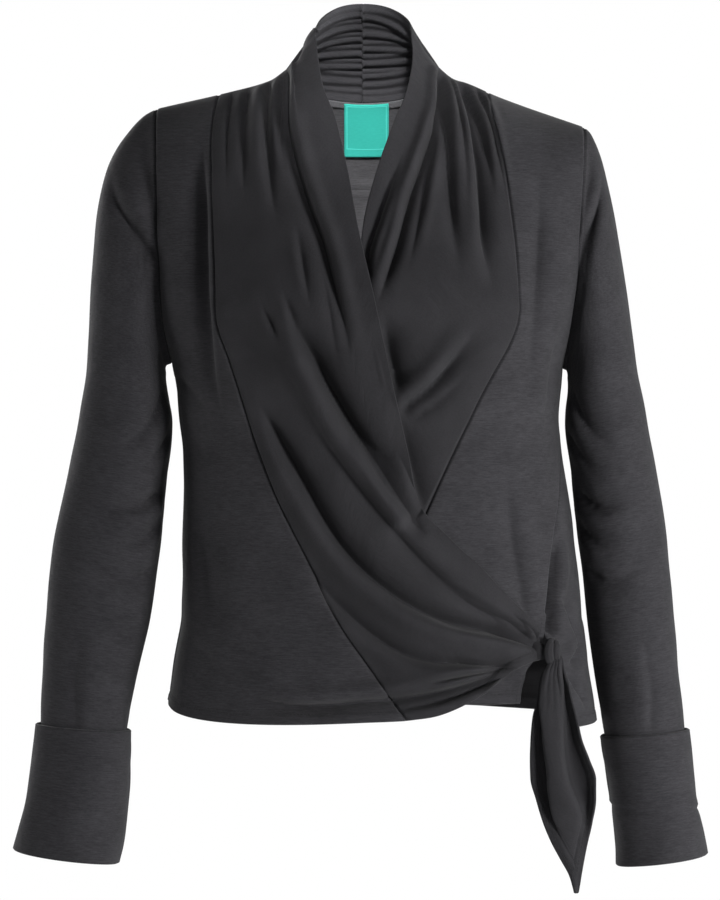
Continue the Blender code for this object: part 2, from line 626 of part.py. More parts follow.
def seam_sides(points, corner_row):
    """Unit vectors across the panel seam in the front view, towards the draped front."""
    run = np.gradient(points[:corner_row + 1], axis=0)
    across = np.stack([-run[:, 1], run[:, 0]], axis=1)
    return unit(across)


def drape_grid(drape, corner, side, columns):
    """Front-view places (x, z) of the draped front's grid, free edge first."""
    places = drape_rows(drape, corner, side)
    edge = spline(places, np.stack([drape["edge_x"], drape["edge_z"]], axis=1))
    middle = spline(places, np.stack([drape["mid_x"], drape["mid_z"]], axis=1))
    seam = seam_points(drape, corner, places)
    corner_row = ARM_ROWS + SIDE_ROWS
    seam[:corner_row + 1] += -side * seam_sides(seam, corner_row) * SEAM_GAP / 2
    share = np.linspace(0, 1, columns + 1)[None, :, None]
    near = (share - MID_SHARE) * (share - 1) / MID_SHARE
    between = share * (1 - share) / (MID_SHARE * (1 - MID_SHARE))
    far = share * (share - MID_SHARE) / (1 - MID_SHARE)
    grid = edge[:, None] * near + middle[:, None] * between + seam[:, None] * far
    grid[0, :, 1] = shoulder_height(grid[0, :, 0])
    return grid


def drape_front(name, drape, corner, side, relief, colour):
    grid = drape_grid(drape, corner, side, DRAPE_COLUMNS)
    x, z = grid[..., 0], grid[..., 1]
    form = front_form(relief)
    angle = angle_at(x, z)
    middle = form(angle, z)
    normals = form_normals(form, angle, z)
    middle[0, :, 1] = SEAM_DEPTH - SEAM_GAP / 2
    return wall(name, middle, normals, CLOTH, colour)


def side_front(drape, corner, side, outer_heights, outer_x, relief):
    """A side front, between the panel seam and the armhole and side seam."""
    places = drape_rows(drape, corner, side)[:ARM_ROWS + SIDE_ROWS + 1]
    seam = seam_points(drape, corner, places)
    seam -= -side * seam_sides(seam, ARM_ROWS + SIDE_ROWS) * SEAM_GAP / 2
    share = np.linspace(0, 1, SIDE_COLUMNS + 1)[None, :]
    inner_angle = angle_at(seam[:, 0], seam[:, 1])
    outer_angle = angle_at(outer_x, outer_heights)
    angle = inner_angle[:, None] * (1 - share) + outer_angle[:, None] * share
    height = seam[:, 1][:, None] * (1 - share) + outer_heights[:, None] * share
    down = smoothstep((np.arange(len(seam)) - ARM_ROWS) / SIDE_ROWS)[:, None]
    height = height - HEM_DROOP[side] * 4 * share * (1 - share) * down ** 2
    for _ in range(3):
        x = body(angle, height)[..., 0]
        height[0] = shoulder_height(x[0])
    form = front_form(relief)
    middle = form(angle, height)
    normals = form_normals(form, angle, height)
    middle[0, :, 1] = SEAM_DEPTH - SEAM_GAP / 2
    return middle, normals


def back_rows(side):
    """Heights down the back's edge at one armhole, from the shoulder tip to the underarm."""
    top, low = TIP[side][1], UNDERARM[side][1]
    middle, half = (top + low) / 2, (top - low) / 2
    yoke_end = math.acos((YOKE_SEAM - middle) / half)
    turns = np.concatenate([np.linspace(0, yoke_end, YOKE_ROWS + 1),
                            np.linspace(yoke_end, math.pi, BLADE_ROWS + 1)[1:]])
    return middle + half * np.cos(turns)


def arm_x(heights, side):
    edges = RIGHT_ARM_EDGE if side < 0 else LEFT_ARM_EDGE
    return side * curve(heights, edges["height"], edges["half_width"])


def neckline_height(x):
    """Height of the back neckline, from the neck points down to the centre back."""
    point = np.where(x < 0, NECK_POINT[-1], NECK_POINT[1])
    share = np.clip(np.abs(x) / point, 0, 1)
    return NECK_LOW + (shoulder_height(np.sign(x) * point) - NECK_LOW) * (1 - np.sqrt(1 - share ** 2))


def yoke_grid():
    """Angles and heights of the back yoke, from the left armhole round the back to the right one."""
    left, right = back_rows(1)[:YOKE_ROWS + 1], back_rows(-1)[:YOKE_ROWS + 1]
    share = np.linspace(0, 1, BACK_COLUMNS + 1)
    low_left = angle_at(arm_x(left[-1], 1), left[-1], front=False)
    low_right = angle_at(arm_x(right[-1], -1), right[-1], front=False)
    low_angle = low_left + (low_right - low_left) * share
    low_height = np.full(BACK_COLUMNS + 1, YOKE_SEAM + SEAM_GAP / 2)
    low_x = body(low_angle, low_height)[..., 0]
    reach = 1 - 2 * share
    point = np.where(reach > 0, NECK_POINT[1], NECK_POINT[-1])
    tip = np.where(reach > 0, TIP[1][0], -TIP[-1][0])
    beyond = np.clip((np.abs(reach) - NECK_COLUMNS) / (1 - NECK_COLUMNS), 0, 1)
    near = np.clip(np.abs(reach) / NECK_COLUMNS, 0, 1)
    top_x = np.sign(reach) * (point * near + (tip - point) * beyond)
    top_height = shoulder_height(top_x)
    inside = (top_x > -NECK_POINT[-1]) & (top_x < NECK_POINT[1])
    top_height = np.where(inside, neckline_height(top_x), top_height)
    return low_angle, low_height, low_x, top_x, top_height, left, right


def build_yoke():
    low_angle, low_height, low_x, top_x, top_height, left, right = yoke_grid()
    down = (left - left[0]) / (left[-1] - left[0])
    angles, heights = [], []
    for row, share in enumerate(down):
        x = top_x + (low_x - top_x) * share
        z = top_height + (low_height - top_height) * share
        x[0], z[0] = arm_x(left[row], 1), left[row]
        x[-1], z[-1] = arm_x(right[row], -1), right[row]
        angles.append(angle_at(x, z, front=False))
        heights.append(z)
    angle, height = np.array(angles), np.array(heights)
    height[-1] = low_height
    middle = back_form(angle, height)
    normals = form_normals(back_form, angle, height)
    shoulder = (top_x <= -NECK_POINT[-1]) | (top_x >= NECK_POINT[1])
    middle[0, shoulder, 1] = SEAM_DEPTH + SEAM_GAP / 2
    return middle, normals


def build_back():
    """The lower back, from the left seam round the back to the right side seam."""
    left = np.concatenate([back_rows(1)[YOKE_ROWS:],
                           np.linspace(UNDERARM[1][1], SEAM_SPLIT, SPLIT_ROW + 1)[1:],
                           np.linspace(SEAM_SPLIT, SIDE_HEM[1], SIDE_ROWS - SPLIT_ROW + 1)[1:]])
    right = np.concatenate([back_rows(-1)[YOKE_ROWS:],
                            np.linspace(UNDERARM[-1][1], SIDE_HEM[-1], SIDE_ROWS + 1)[1:]])
    left[0] = right[0] = YOKE_SEAM - SEAM_GAP / 2
    left_angle = angle_at(arm_x(left, 1), left, front=False)
    seam_x = curve(left, LEFT_SEAM["height"], LEFT_SEAM["back_edge"]) + SEAM_GAP / 2
    seam_x = np.minimum(seam_x, curve(left, LEFT_SIDE["height"], LEFT_SIDE["half_width"]))
    seam_angle = angle_at(seam_x, left)
    below = np.arange(len(left)) >= BLADE_ROWS
    left_angle = np.where(below, seam_angle, left_angle)
    right_angle = angle_at(arm_x(right, -1), right, front=False)
    right_angle = np.where(below, 1.5 * math.pi, right_angle)
    share = np.linspace(0, 1, BACK_COLUMNS + 1)[None, :]
    angle = left_angle[:, None] * (1 - share) + right_angle[:, None] * share
    height = left[:, None] * (1 - share) + right[:, None] * share
    middle = back_form(angle, height)
    normals = form_normals(back_form, angle, height)
    middle[below, -1, 1] = SEAM_GAP / 2
    return middle, normals


def side_outer(side):
    """Heights and widths down a side front's outer edge: armhole, then side seam."""
    arm = arm_heights(side, ARM_ROWS)
    if side < 0:
        seam = np.linspace(UNDERARM[-1][1], SIDE_HEM[-1], SIDE_ROWS + 1)[1:]
        seam_x = -curve(seam, RIGHT_SIDE["height"], RIGHT_SIDE["half_width"])
    else:
        seam = np.concatenate([np.linspace(UNDERARM[1][1], SEAM_SPLIT, SPLIT_ROW + 1)[1:],
                               np.linspace(SEAM_SPLIT, LEFT_FRONT_HEM, SIDE_ROWS - SPLIT_ROW + 1)[1:]])
        seam_x = curve(seam, LEFT_SEAM["height"], LEFT_SEAM["front_edge"]) - SEAM_GAP / 2
    heights = np.concatenate([arm, seam])
    return heights, np.concatenate([arm_x(arm, side), seam_x])


# ---------------------------------------------------------------- sleeves and cuffs

def ring_points(rings, places, turns):
    """Ellipses down a sleeve. A turn of 0 is the outer line and pi the inner one, the front positive."""
    columns = [rings[name] for name in ("outer_x", "outer_z", "inner_x", "inner_z", "half_depth")]
    ox, oz, ix, iz, depth = spline(places, np.stack(columns, axis=1)).T
    c, s = np.cos(turns)[None, :], np.sin(turns)[None, :]
    x = ((ox + ix) / 2)[:, None] + ((ox - ix) / 2)[:, None] * c
    z = ((oz + iz) / 2)[:, None] + ((oz - iz) / 2)[:, None] * c
    y = -depth[:, None] * s
    return np.stack([x, y, z], axis=-1)


def ring_centres(points):
    return points.mean(axis=1, keepdims=True)


def sleeve(name, rings, loop, loop_normals, side, colour):
    """A set-in sleeve from the armhole's own points down to just inside the cuff."""
    top, low = TIP[side][1], UNDERARM[side][1]
    middle, half = (top + low) / 2, (top - low) / 2
    turns = np.arccos(np.clip((loop[:, 2] - middle) / half, -1, 1))
    back = np.arange(len(loop)) > ARM_ROWS
    turns = np.where(back, 2 * math.pi - turns, turns)
    last = len(rings["outer_x"]) - 1
    places = np.linspace(0, last, int(last * SLEEVE_STEPS) + 1)
    body_rings = ring_points(rings, places, turns)
    around = np.where(turns > math.pi, turns - 2 * math.pi, turns) * SLEEVE_ROUND
    relief = fold_relief(around[None, :] + 0 * body_rings[..., 0], body_rings[..., 2], SLEEVE_FOLDS)
    calm = smoothstep(places / 3)[:, None] * smoothstep((last - places) / 1.5)[:, None]
    outward = unit(body_rings - ring_centres(body_rings))
    body_rings = body_rings + outward * (relief * calm)[..., None]
    run = np.roll(loop, -1, axis=0) - np.roll(loop, 1, axis=0)
    across = unit(np.cross(run, loop_normals))
    across *= np.sign(across[:, :1]) * side
    points = np.concatenate([(loop + across * SLEEVE_GAP)[None], body_rings])
    normals = grid_normals(points, points - ring_centres(points), closed=True)
    # the cloth turns over at the seam, most sharply under the arm
    normals[0] = unit(loop_normals + normals[1])
    lean = np.sum(normals[0] * loop_normals, axis=-1, keepdims=True)
    points[0] += across * CLOTH / 2 * np.sqrt(np.clip(1 - lean ** 2, 0, 1))
    return wall(name, points, normals, CLOTH, colour, closed=True)


def cuff(name, rings, colour):
    turns = np.linspace(0, 2 * math.pi, CUFF_COLUMNS + 1)[:-1]
    last = len(rings["outer_x"]) - 1
    points = ring_points(rings, np.linspace(0, last, CUFF_STEPS), turns)
    normals = grid_normals(points, points - ring_centres(points), closed=True)
    return wall(name, points, normals, CUFF_CLOTH, colour, closed=True)


# ---------------------------------------------------------------- collar, tape and label

def collar(name, side, yoke, colour):
    """Half the collar, from the shoulder line to the centre back seam."""
    share = np.linspace(0, 1, COLLAR_COLUMNS + 1)
    rise = np.linspace(0, 1, COLLAR_ROWS + 1)
    turn = share * math.pi / 2
    point = side * NECK_POINT[side]
    back_x = COLLAR_BACK_X + side * SEAM_GAP / 2
    base_x = back_x + (point - back_x) * np.cos(turn)
    columns = np.interp(-base_x, -yoke[0, :, 0], np.arange(yoke.shape[1]))
    base = on_grid(yoke, 0 * columns, columns)
    base[0] = (point, SEAM_DEPTH, shoulder_height(point))
    base[:, 2] += COLLAR_CLEAR
    top_x, top_z = COLLAR_TOP[side]
    top = np.stack([back_x + (top_x - back_x) * np.cos(turn) ** COLLAR_LEAN,
                    SEAM_DEPTH + (COLLAR_BACK_DEPTH - SEAM_DEPTH) * np.sin(turn),
                    top_z + (COLLAR_BACK_TOP - top_z) * np.sin(turn) ** COLLAR_CLIMB], axis=1)
    middle = base[None] * (1 - rise[:, None, None]) + top[None] * rise[:, None, None]
    outward = unit(np.stack([side * np.cos(turn), np.sin(turn), 0 * turn], axis=1))[None]
    length = np.linalg.norm(np.diff(top, axis=0), axis=1)
    from_back = np.concatenate([[0], np.cumsum(length)])
    from_back = (from_back[-1] - from_back)[None, :]
    gathered = np.exp(-(from_back / RUCHE_REACH) ** 2)
    gathered = gathered * smoothstep((rise[:, None] - RUCHE_START) / RUCHE_RAMP)
    wave = np.sin(2 * math.pi * RUCHES * (rise[:, None] + RUCHE_SLOPE * from_back * rise[:, None]))
    bulge = COLLAR_BULGE * np.sin(math.pi * rise)[:, None] * np.sin(turn)[None, :]
    middle = middle + outward * (bulge + RUCHE_HEIGHT * wave * gathered)[..., None]
    middle[:, 0, 1] = SEAM_DEPTH + SEAM_GAP
    middle[:, -1, 0] = back_x
    normals = grid_normals(middle, outward + 0 * middle)
    normals[:, -1, 0] = 0.0
    return wall(name, middle, unit(normals), CLOTH, colour)


def on_grid(values, rows, columns):
    """Values of a grid read at fractional rows and columns, as its flat faces give them."""
    row = np.clip(rows.astype(int), 0, values.shape[0] - 2)
    column = np.clip(columns.astype(int), 0, values.shape[1] - 2)
    down, along = (rows - row)[..., None], (columns - column)[..., None]
    near = values[row, column] * (1 - along) + values[row, column + 1] * along
    far = values[row + 1, column] * (1 - along) + values[row + 1, column + 1] * along
    return near * (1 - down) + far * down


def trim(name, yoke, yoke_normals, x, top, bottom, inward, colour):
    """A thin piece on the inside of the back yoke, made from the yoke's points moved in.

    `top` and `bottom` are distances below the neckline.
    """
    every_row, every_column = np.arange(yoke.shape[0]), np.arange(yoke.shape[1])
    centre = np.full(len(every_row), np.interp(0.0, -yoke[0, :, 0], every_column))
    heights = on_grid(yoke, every_row + 0.0, centre)[:, 2]
    drops = np.linspace(top, bottom, max(3, int((bottom - top) / TRIM_ROW)))
    rows = np.interp(drops, heights[0] - heights, every_row)[:, None]
    lines = on_grid(yoke, rows, every_column + 0.0 * rows)
    columns = np.stack([np.interp(-x, -line[:, 0], every_column) for line in lines])
    rows = rows + 0.0 * columns
    normals = unit(on_grid(yoke_normals, rows, columns))
    middle = on_grid(yoke, rows, columns) - normals * inward
    return wall(name, middle, normals, TRIM_CLOTH, colour)


# ---------------------------------------------------------------- tie

def knot(name, colour):
    """The knot: a rounded lump of wound cloth with slanting grooves between its turns."""
    rings, segments = KNOT_RINGS, KNOT_SEGMENTS
    points, faces = [], []
    for ring in range(1, rings):
        tilt = math.pi * ring / rings
        for segment in range(segments):
            turn = 2 * math.pi * segment / segments
            wave = math.cos(KNOT_GROOVES * turn + GROOVE_SLANT * tilt)
            groove = 1 + GROOVE_DEPTH * wave * math.sin(tilt)
            points.append([KNOT_CENTRE[0] + KNOT_RADII[0] * groove * math.sin(tilt) * math.cos(turn),
                           KNOT_CENTRE[1] + KNOT_RADII[1] * groove * math.sin(tilt) * math.sin(turn),
                           KNOT_CENTRE[2] + KNOT_RADII[2] * math.cos(tilt)])
    points.append([KNOT_CENTRE[0], KNOT_CENTRE[1], KNOT_CENTRE[2] + KNOT_RADII[2]])
    points.append([KNOT_CENTRE[0], KNOT_CENTRE[1], KNOT_CENTRE[2] - KNOT_RADII[2]])
    top, bottom = len(points) - 2, len(points) - 1
    for ring in range(rings - 2):
        for segment in range(segments):
            a, b = ring * segments + segment, ring * segments + (segment + 1) % segments
            faces.append([a, b, b + segments, a + segments])
    for segment in range(segments):
        beside = (segment + 1) % segments
        low = (rings - 2) * segments
        faces.append([top, beside, segment])
        faces.append([bottom, low + segment, low + beside])
    return add_mesh(name, points, faces, colour)


def tail(name, colour):
    """The hanging end of the tie, a pointed strip folded lengthwise."""
    height = np.linspace(TAIL["height"][0], TAIL["height"][-1], TAIL_ROWS + 1)
    left = curve(height, TAIL["height"], TAIL["left"])
    right = curve(height, TAIL["height"], TAIL["right"])
    share = np.linspace(0, 1, TAIL_COLUMNS + 1)
    x = left[:, None] * (1 - share) + right[:, None] * share
    spread = np.clip((right - left) / TAIL_WIDTH, 0, WIDEST_FOLD)[:, None]
    forward = curve(share, TAIL_FOLD["share"], TAIL_FOLD["forward"])[None, :] * spread
    y = KNOT_CENTRE[1] + TAIL_BEHIND - forward + 0 * x
    middle = np.stack([x, y, height[:, None] + 0 * x], axis=-1)
    normals = grid_normals(middle, np.array([0.0, -1.0, 0.0]) + 0 * middle)
    return wall(name, middle, normals, CLOTH, colour)


# ---------------------------------------------------------------- the jacket

def main():
    for old in list(bpy.data.objects):
        bpy.data.objects.remove(old, do_unlink=True)

    drape_front("drape_front_right", RIGHT_DRAPE, RIGHT_CORNER, -1, right_relief, CHARCOAL)
    drape_front("drape_front_left", LEFT_DRAPE, LEFT_CORNER, 1, left_relief, CHARCOAL)

    yoke, yoke_normals = build_yoke()
    wall("back_yoke", yoke, yoke_normals, CLOTH, HEATHER)
    back, back_normals = build_back()
    wall("back", back, back_normals, CLOTH, HEATHER)

    sides = ((-1, "right", RIGHT_DRAPE, RIGHT_CORNER, right_relief, RIGHT_SLEEVE, RIGHT_CUFF),
             (1, "left", LEFT_DRAPE, LEFT_CORNER, left_relief, LEFT_SLEEVE, LEFT_CUFF))
    for side, word, drape, corner, relief, sleeve_rings, cuff_rings in sides:
        outer_heights, outer_x = side_outer(side)
        middle, normals = side_front(drape, corner, side, outer_heights, outer_x, relief)
        if side < 0:
            middle[ARM_ROWS:, -1, 1] = -SEAM_GAP / 2
        wall("side_front_" + word, middle, normals, CLOTH, HEATHER)
        edge = 0 if side > 0 else -1
        rear = np.concatenate([yoke[:, edge], back[1:BLADE_ROWS, edge]])[1:][::-1]
        rear_normals = np.concatenate([yoke_normals[:, edge], back_normals[1:BLADE_ROWS, edge]])[1:][::-1]
        loop = np.concatenate([middle[:ARM_ROWS + 1, -1], rear])
        loop_normals = np.concatenate([normals[:ARM_ROWS + 1, -1], rear_normals])
        sleeve("sleeve_" + word, sleeve_rings, loop, loop_normals, side, HEATHER)
        cuff("cuff_" + word, cuff_rings, HEATHER)
        collar("collar_" + word, side, yoke, COLLAR_GREY)

    on_yoke = CLOTH / 2 + TRIM_GAP + TRIM_CLOTH / 2
    on_tape = on_yoke + TRIM_GAP + TRIM_CLOTH
    tape_x = np.linspace(-TAPE_HALF, TAPE_HALF, TAPE_COLUMNS)
    trim("neck_tape", yoke, yoke_normals, tape_x, 0.0, TAPE_HEIGHT, on_yoke, TAPE_GREY)
    label_x = np.linspace(LABEL_LEFT, LABEL_RIGHT, LABEL_COLUMNS)
    trim("neck_label", yoke, yoke_normals, label_x, LABEL_TOP, LABEL_LENGTH, on_tape, TEAL)

    knot("tie_knot", CHARCOAL)
    tail("tie_tail", CHARCOAL)


main()
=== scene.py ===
# %% [markdown]
# # A wrap jacket in soft jersey
#
# The cut pieces of a jacket already stand in their places as plain solids. This lesson makes the cloth
# that shows on them: thin shells with folds, seams, hems and stitches, and the knitted look of jersey.
# Every shell is computed from the same short tables as its solid, only with many more points.

import math

import bmesh
import bpy
import numpy as np
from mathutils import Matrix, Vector


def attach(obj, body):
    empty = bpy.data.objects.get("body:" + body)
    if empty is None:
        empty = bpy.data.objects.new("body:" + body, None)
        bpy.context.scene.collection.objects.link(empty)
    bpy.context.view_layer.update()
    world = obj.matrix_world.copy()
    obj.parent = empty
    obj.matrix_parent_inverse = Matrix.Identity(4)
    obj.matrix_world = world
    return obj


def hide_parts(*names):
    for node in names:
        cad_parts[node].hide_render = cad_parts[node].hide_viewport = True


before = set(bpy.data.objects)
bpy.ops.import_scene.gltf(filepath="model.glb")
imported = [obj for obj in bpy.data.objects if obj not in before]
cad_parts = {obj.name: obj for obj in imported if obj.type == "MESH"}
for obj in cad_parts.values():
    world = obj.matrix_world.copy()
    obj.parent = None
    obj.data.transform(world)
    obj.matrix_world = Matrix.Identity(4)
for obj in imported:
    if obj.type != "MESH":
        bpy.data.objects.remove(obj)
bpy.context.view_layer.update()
MM = 0.001
print("cut pieces:", ", ".join(sorted(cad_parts)))

# %% [markdown]
# ## Sizes of the jacket
#
# A jacket on a body could be sculpted or simulated. Here its form is a set of named tables in
# millimetres: how deep and wide the body is at each height, where the shoulder line runs, and where the
# seams lie in the front view. The front faces -Y and the wearer's left is +X.

# %% Sizes
CLOTH = 1.4                 # a layer of jersey with its hem's rounding
CUFF_CLOTH = 2.6            # a turned-back cuff is two layers
TRIM_CLOTH = 0.8            # tape and label
SEAM_GAP = 0.04             # between two pieces that are sewn together
LAYER_STEP = 3.1            # least distance between the middles of two layers
RIM_SHARE = 0.42            # how far a cut edge rounds out, as a share of the thickness
SEAM_DIP, SEAM_WIDTH = 2.0, 1.1                       # the cloth sinks in beside a seam
HEM_EXTRA, HEM_DEPTH, HEM_FADE = 0.9, 11.0, 1.2       # a hem is thicker as far as it is turned up
HEM_DIP, HEM_LINE, HEM_LINE_WIDTH = 0.8, 8.8, 1.7     # the sewn line sinks in along a hem

ROUNDNESS = 2.3             # exponent of the torso's oval sections, 2 is an ellipse
SEAM_DEPTH = 8.0            # how far the shoulder seams lie behind the centre
FRONT_ROLL, BACK_ROLL = 70.0, 58.0                    # height over which the body rolls over to them
ARM_HALF_DEPTH, WIDEST_SHARE = 46.0, 0.72             # armhole, and its largest share of the body's depth
UNDERLAP, UNDERLAP_START, UNDERLAP_RUN = 18.0, 3.0, 44.0      # the left front sinks in under the right
OVERLAP_RISE, RISE_RUN, COVER_RUN = 4.5, 55.0, 25.0           # the right front rises from its seam

FINE = 5
ARM_ROWS, SIDE_ROWS, HEM_ROWS = 10 * FINE, 20 * FINE, 9 * FINE
YOKE_ROWS, BLADE_ROWS, SPLIT_ROW = 5 * FINE, 6 * FINE, 14 * FINE
CORNER_ROW = ARM_ROWS + SIDE_ROWS
HEM_CROWD = 1.3             # rows stand closer together towards a hem
SEARCH_PLACES = 400         # places along a seam among which the rows are looked up
EDGE_SHARES = np.array([0, 0.004, 0.009, 0.015, 0.022, 0.03])      # close columns at a piece's edges
DRAPE_COLUMNS, SIDE_COLUMNS, BACK_COLUMNS = 24 * FINE, 13 * FINE, 28 * FINE
COLLAR_ROWS, COLLAR_COLUMNS = 20 * FINE, 12 * FINE
SLEEVE_ROWS, CUFF_ROWS, CUFF_COLUMNS = 2 * FINE, 8 * FINE, 20 * FINE
TAIL_ROWS, TAIL_COLUMNS = 20 * FINE, 18 * FINE
NECK_COLUMNS = 0.5          # share of the yoke's columns that end on the back neckline
YOKE_SEAM, YOKE_CALM = -81.0, 40.0      # height of the yoke's seam, and the calm stretch below it
UNDERARM_STEP = 2.0         # the panel seam's row beside the underarm lies this much lower
SETTLE_ROUNDS = 3
RIGHT_AND_LEFT = (-1, 1)    # the wearer's right side, where x is negative, and the left
SIDE_WORD = {-1: "_right", 1: "_left"}
SPARSE = slice(None, None, 3)      # every third point of an edge is enough to measure from


def table(columns, rows):
    """A short table as a dictionary of named columns."""
    return dict(zip(columns.split(), np.array(rows, dtype=float).T))


# %% [markdown]
# ## Where the body and the seams run
#
# The tables below hold the torso's depth and width by height, the shoulder line, the armholes and the
# seams of each cut piece, and the rings down the sleeves and cuffs.

# %% Tables of the form
BODY = table("height front back", [
    (60, 14, 40), (40, 24, 46), (20, 38, 54), (0, 54, 62), (-20, 68, 72), (-60, 85, 91),
    (-120, 106, 108), (-200, 122, 111), (-240, 122, 107), (-290, 117, 101), (-340, 111, 96),
    (-400, 108, 95), (-460, 109, 100), (-500, 112, 105), (-570, 117, 113),
])

# Half widths of the body below the underarm, and of the armhole edge above it
RIGHT_SIDE = table("height half_width", [
    (-240, 172), (-290, 165), (-320, 162), (-420, 161), (-460, 162), (-485, 166), (-520, 172), (-570, 179),
])
LEFT_SIDE = table("height half_width", [
    (-245, 171), (-290, 167), (-310, 168.5), (-361, 176), (-422, 183.5), (-480, 190), (-537, 198),
    (-570, 203),
])
RIGHT_ARM_EDGE = table("height half_width", [(-17, 186), (-100, 184), (-150, 182), (-200, 179), (-240, 172)])
LEFT_ARM_EDGE = table("height half_width", [(-33, 190), (-88, 187), (-141, 183), (-194, 178), (-245, 171)])
SIDES, ARM_EDGES = {-1: RIGHT_SIDE, 1: LEFT_SIDE}, {-1: RIGHT_ARM_EDGE, 1: LEFT_ARM_EDGE}

# Height of the shoulder line, and of the collar's line inside the neck point
RIGHT_SHOULDER = table("half_width height", [
    (0, 108), (45, 53), (54, 41), (60, 27), (73, 17), (86, 8), (123, -2.5), (186, -17), (205, -22),
])
LEFT_SHOULDER = table("half_width height", [
    (0, 108), (38, 54), (44, 44), (50, 34), (62, 20), (76, 9), (86, 6), (116, -7), (190, -33), (205, -38),
])
NECK_POINT = {-1: 73.0, 1: 64.0}
TIP = {-1: (-186.0, -17.0), 1: (190.0, -33.0)}
UNDERARM = {-1: (-172.0, -240.0), 1: (171.0, -245.0)}
SIDE_HEM = {-1: -537.0, 1: -556.0}

# The left side seam is drawn forward by the tie, and its two edges part above the hem
LEFT_SEAM = table("height front_edge back_edge", [
    (-245, 171, 171), (-273, 168.2, 168.2), (-308, 168, 168), (-343, 166.5, 166.5), (-378, 163, 163),
    (-414, 158, 158), (-449, 154, 154), (-466, 151.5, 151.5), (-480, 149.5, 153.5), (-502, 143, 161),
    (-520, 140, 169), (-540, 138, 174), (-560, 137, 177),
])
SEAM_SPLIT = -466.0
FRONT_HEM = {-1: -537.0, 1: -533.0}
HEM_DROOP = {-1: 8.0, 1: 1.0}
SEAM_CALM = 13.0            # folds are sewn flat within this distance of the shoulder line

# Draped fronts, one row across the strip: free edge, middle and panel seam (then hem)
DRAPE_COLUMN_NAMES = "edge_x edge_z mid_x mid_z seam_x seam_z"
RIGHT_DRAPE = table(DRAPE_COLUMN_NAMES, [
    (-45, 53, -73, 17, -131, -4),
    (-42, 18, -70, -8, -136, -44),
    (-38, -9, -69, -35, -135, -78),
    (-29, -31, -66, -56, -135, -97),
    (-18, -78, -56, -92, -133, -135),
    (-9, -128, -42, -132, -131, -175),
    (6, -194, -26, -190, -130, -208),
    (19, -255, -14, -240, -118, -242),
    (33, -317, 0, -300, -101, -296),
    (41, -356, 12, -350, -77, -361),
    (50, -374, 24, -385, -51, -414),
    (63, -387, 38, -410, -25, -466),
    (81, -405, 56, -437, 2, -505),
    (90, -413, 70, -450, 32, -547),
    (99, -422, 82, -460, 62, -542),
    (115, -440, 102, -470, 94, -527),
    (132, -457, 124, -475, 121, -507),
    (141, -469, 139, -480, 137, -499),
    (145, -481, 145, -488, 145, -497),
])
LEFT_DRAPE = table(DRAPE_COLUMN_NAMES, [
    (38, 54, 64, 18, 105, -2),
    (39, 24, 61, -5, 107, -25),
    (33, -9, 60, -25, 112, -48),
    (24, -31, 54, -45, 117, -72),
    (12, -64, 42, -78, 122, -104),
    (2, -97, 33, -108, 127, -141),
    (-4, -125, 22, -145, 130, -176),
    (-8, -160, 12, -178, 131, -200),
    (-12, -200, 5, -210, 123, -224),
    (-18, -245, -3, -255, 106, -254),
    (-28, -295, -10, -305, 85, -295),
    (-36, -335, -20, -350, 64, -338),
    (-43, -365, -28, -385, 44, -382),
    (-58, -385, -40, -415, 15, -440),
    (-76, -405, -58, -440, -10, -490),
    (-90, -418, -76, -455, -32, -531),
    (-105, -432, -95, -465, -72, -528),
    (-125, -452, -118, -475, -110, -520),
    (-141, -468, -140, -485, -141, -510),
])
MID_SHARE = 0.3             # where the middle column lies across the strip
DRAPES = {-1: RIGHT_DRAPE, 1: LEFT_DRAPE}
CORNERS = {-1: 13, 1: 15}   # table row where the panel seam meets the hem

# Rings down each sleeve: the outer and the inner point of the ring, and half its depth
SLEEVE_COLUMN_NAMES = "outer_x outer_z inner_x inner_z half_depth"
RIGHT_SLEEVE = table(SLEEVE_COLUMN_NAMES, [
    (-197, -24, -177.5, -242, 45.5),
    (-209, -36, -179, -246, 48.5),
    (-221, -53, -178.5, -250, 50.5),
    (-231, -77, -178.5, -255, 51.5),
    (-238, -112, -177.5, -263, 52),
    (-242, -160, -175.5, -275, 52),
    (-245, -216, -173, -292, 51),
    (-250, -268, -174, -316, 49.5),
    (-260, -322, -178.5, -352, 48.5),
    (-270, -370, -182, -388, 47.5),
    (-278, -412, -186, -424, 47),
    (-282, -455, -192.5, -464, 45),
    (-286, -510, -204, -516, 41.5),
    (-286.8, -558, -213, -563, 38.5),
    (-287.8, -573, -215, -578, 37.6),
])
LEFT_SLEEVE = table(SLEEVE_COLUMN_NAMES, [
    (196, -40, 175, -246.5, 45.5),
    (203, -56, 176.5, -251, 49),
    (209, -78, 176.5, -255, 52),
    (215.5, -108, 176.8, -260, 52.5),
    (222, -146, 176.5, -268, 52),
    (229, -195, 175, -281, 51),
    (237, -248, 174.5, -301, 49),
    (247, -303, 178.5, -332, 46.5),
    (257, -358, 183, -374, 43.5),
    (263, -405, 188, -415, 41.5),
    (268, -455, 193.5, -462, 40),
    (273, -512, 200.5, -518, 38),
    (277.5, -563, 209, -568, 36),
    (278.5, -578, 211.5, -582, 35.6),
])
RIGHT_CUFF = table(SLEEVE_COLUMN_NAMES, [
    (-290.5, -558, -209.8, -564, 41.4),
    (-292.5, -574, -209.6, -580, 42.4),
    (-296.5, -602, -210.5, -608, 43.6),
    (-301, -628, -213, -636, 44.8),
    (-306.5, -652, -216.5, -662, 46),
    (-311, -667, -220, -679, 46.8),
])
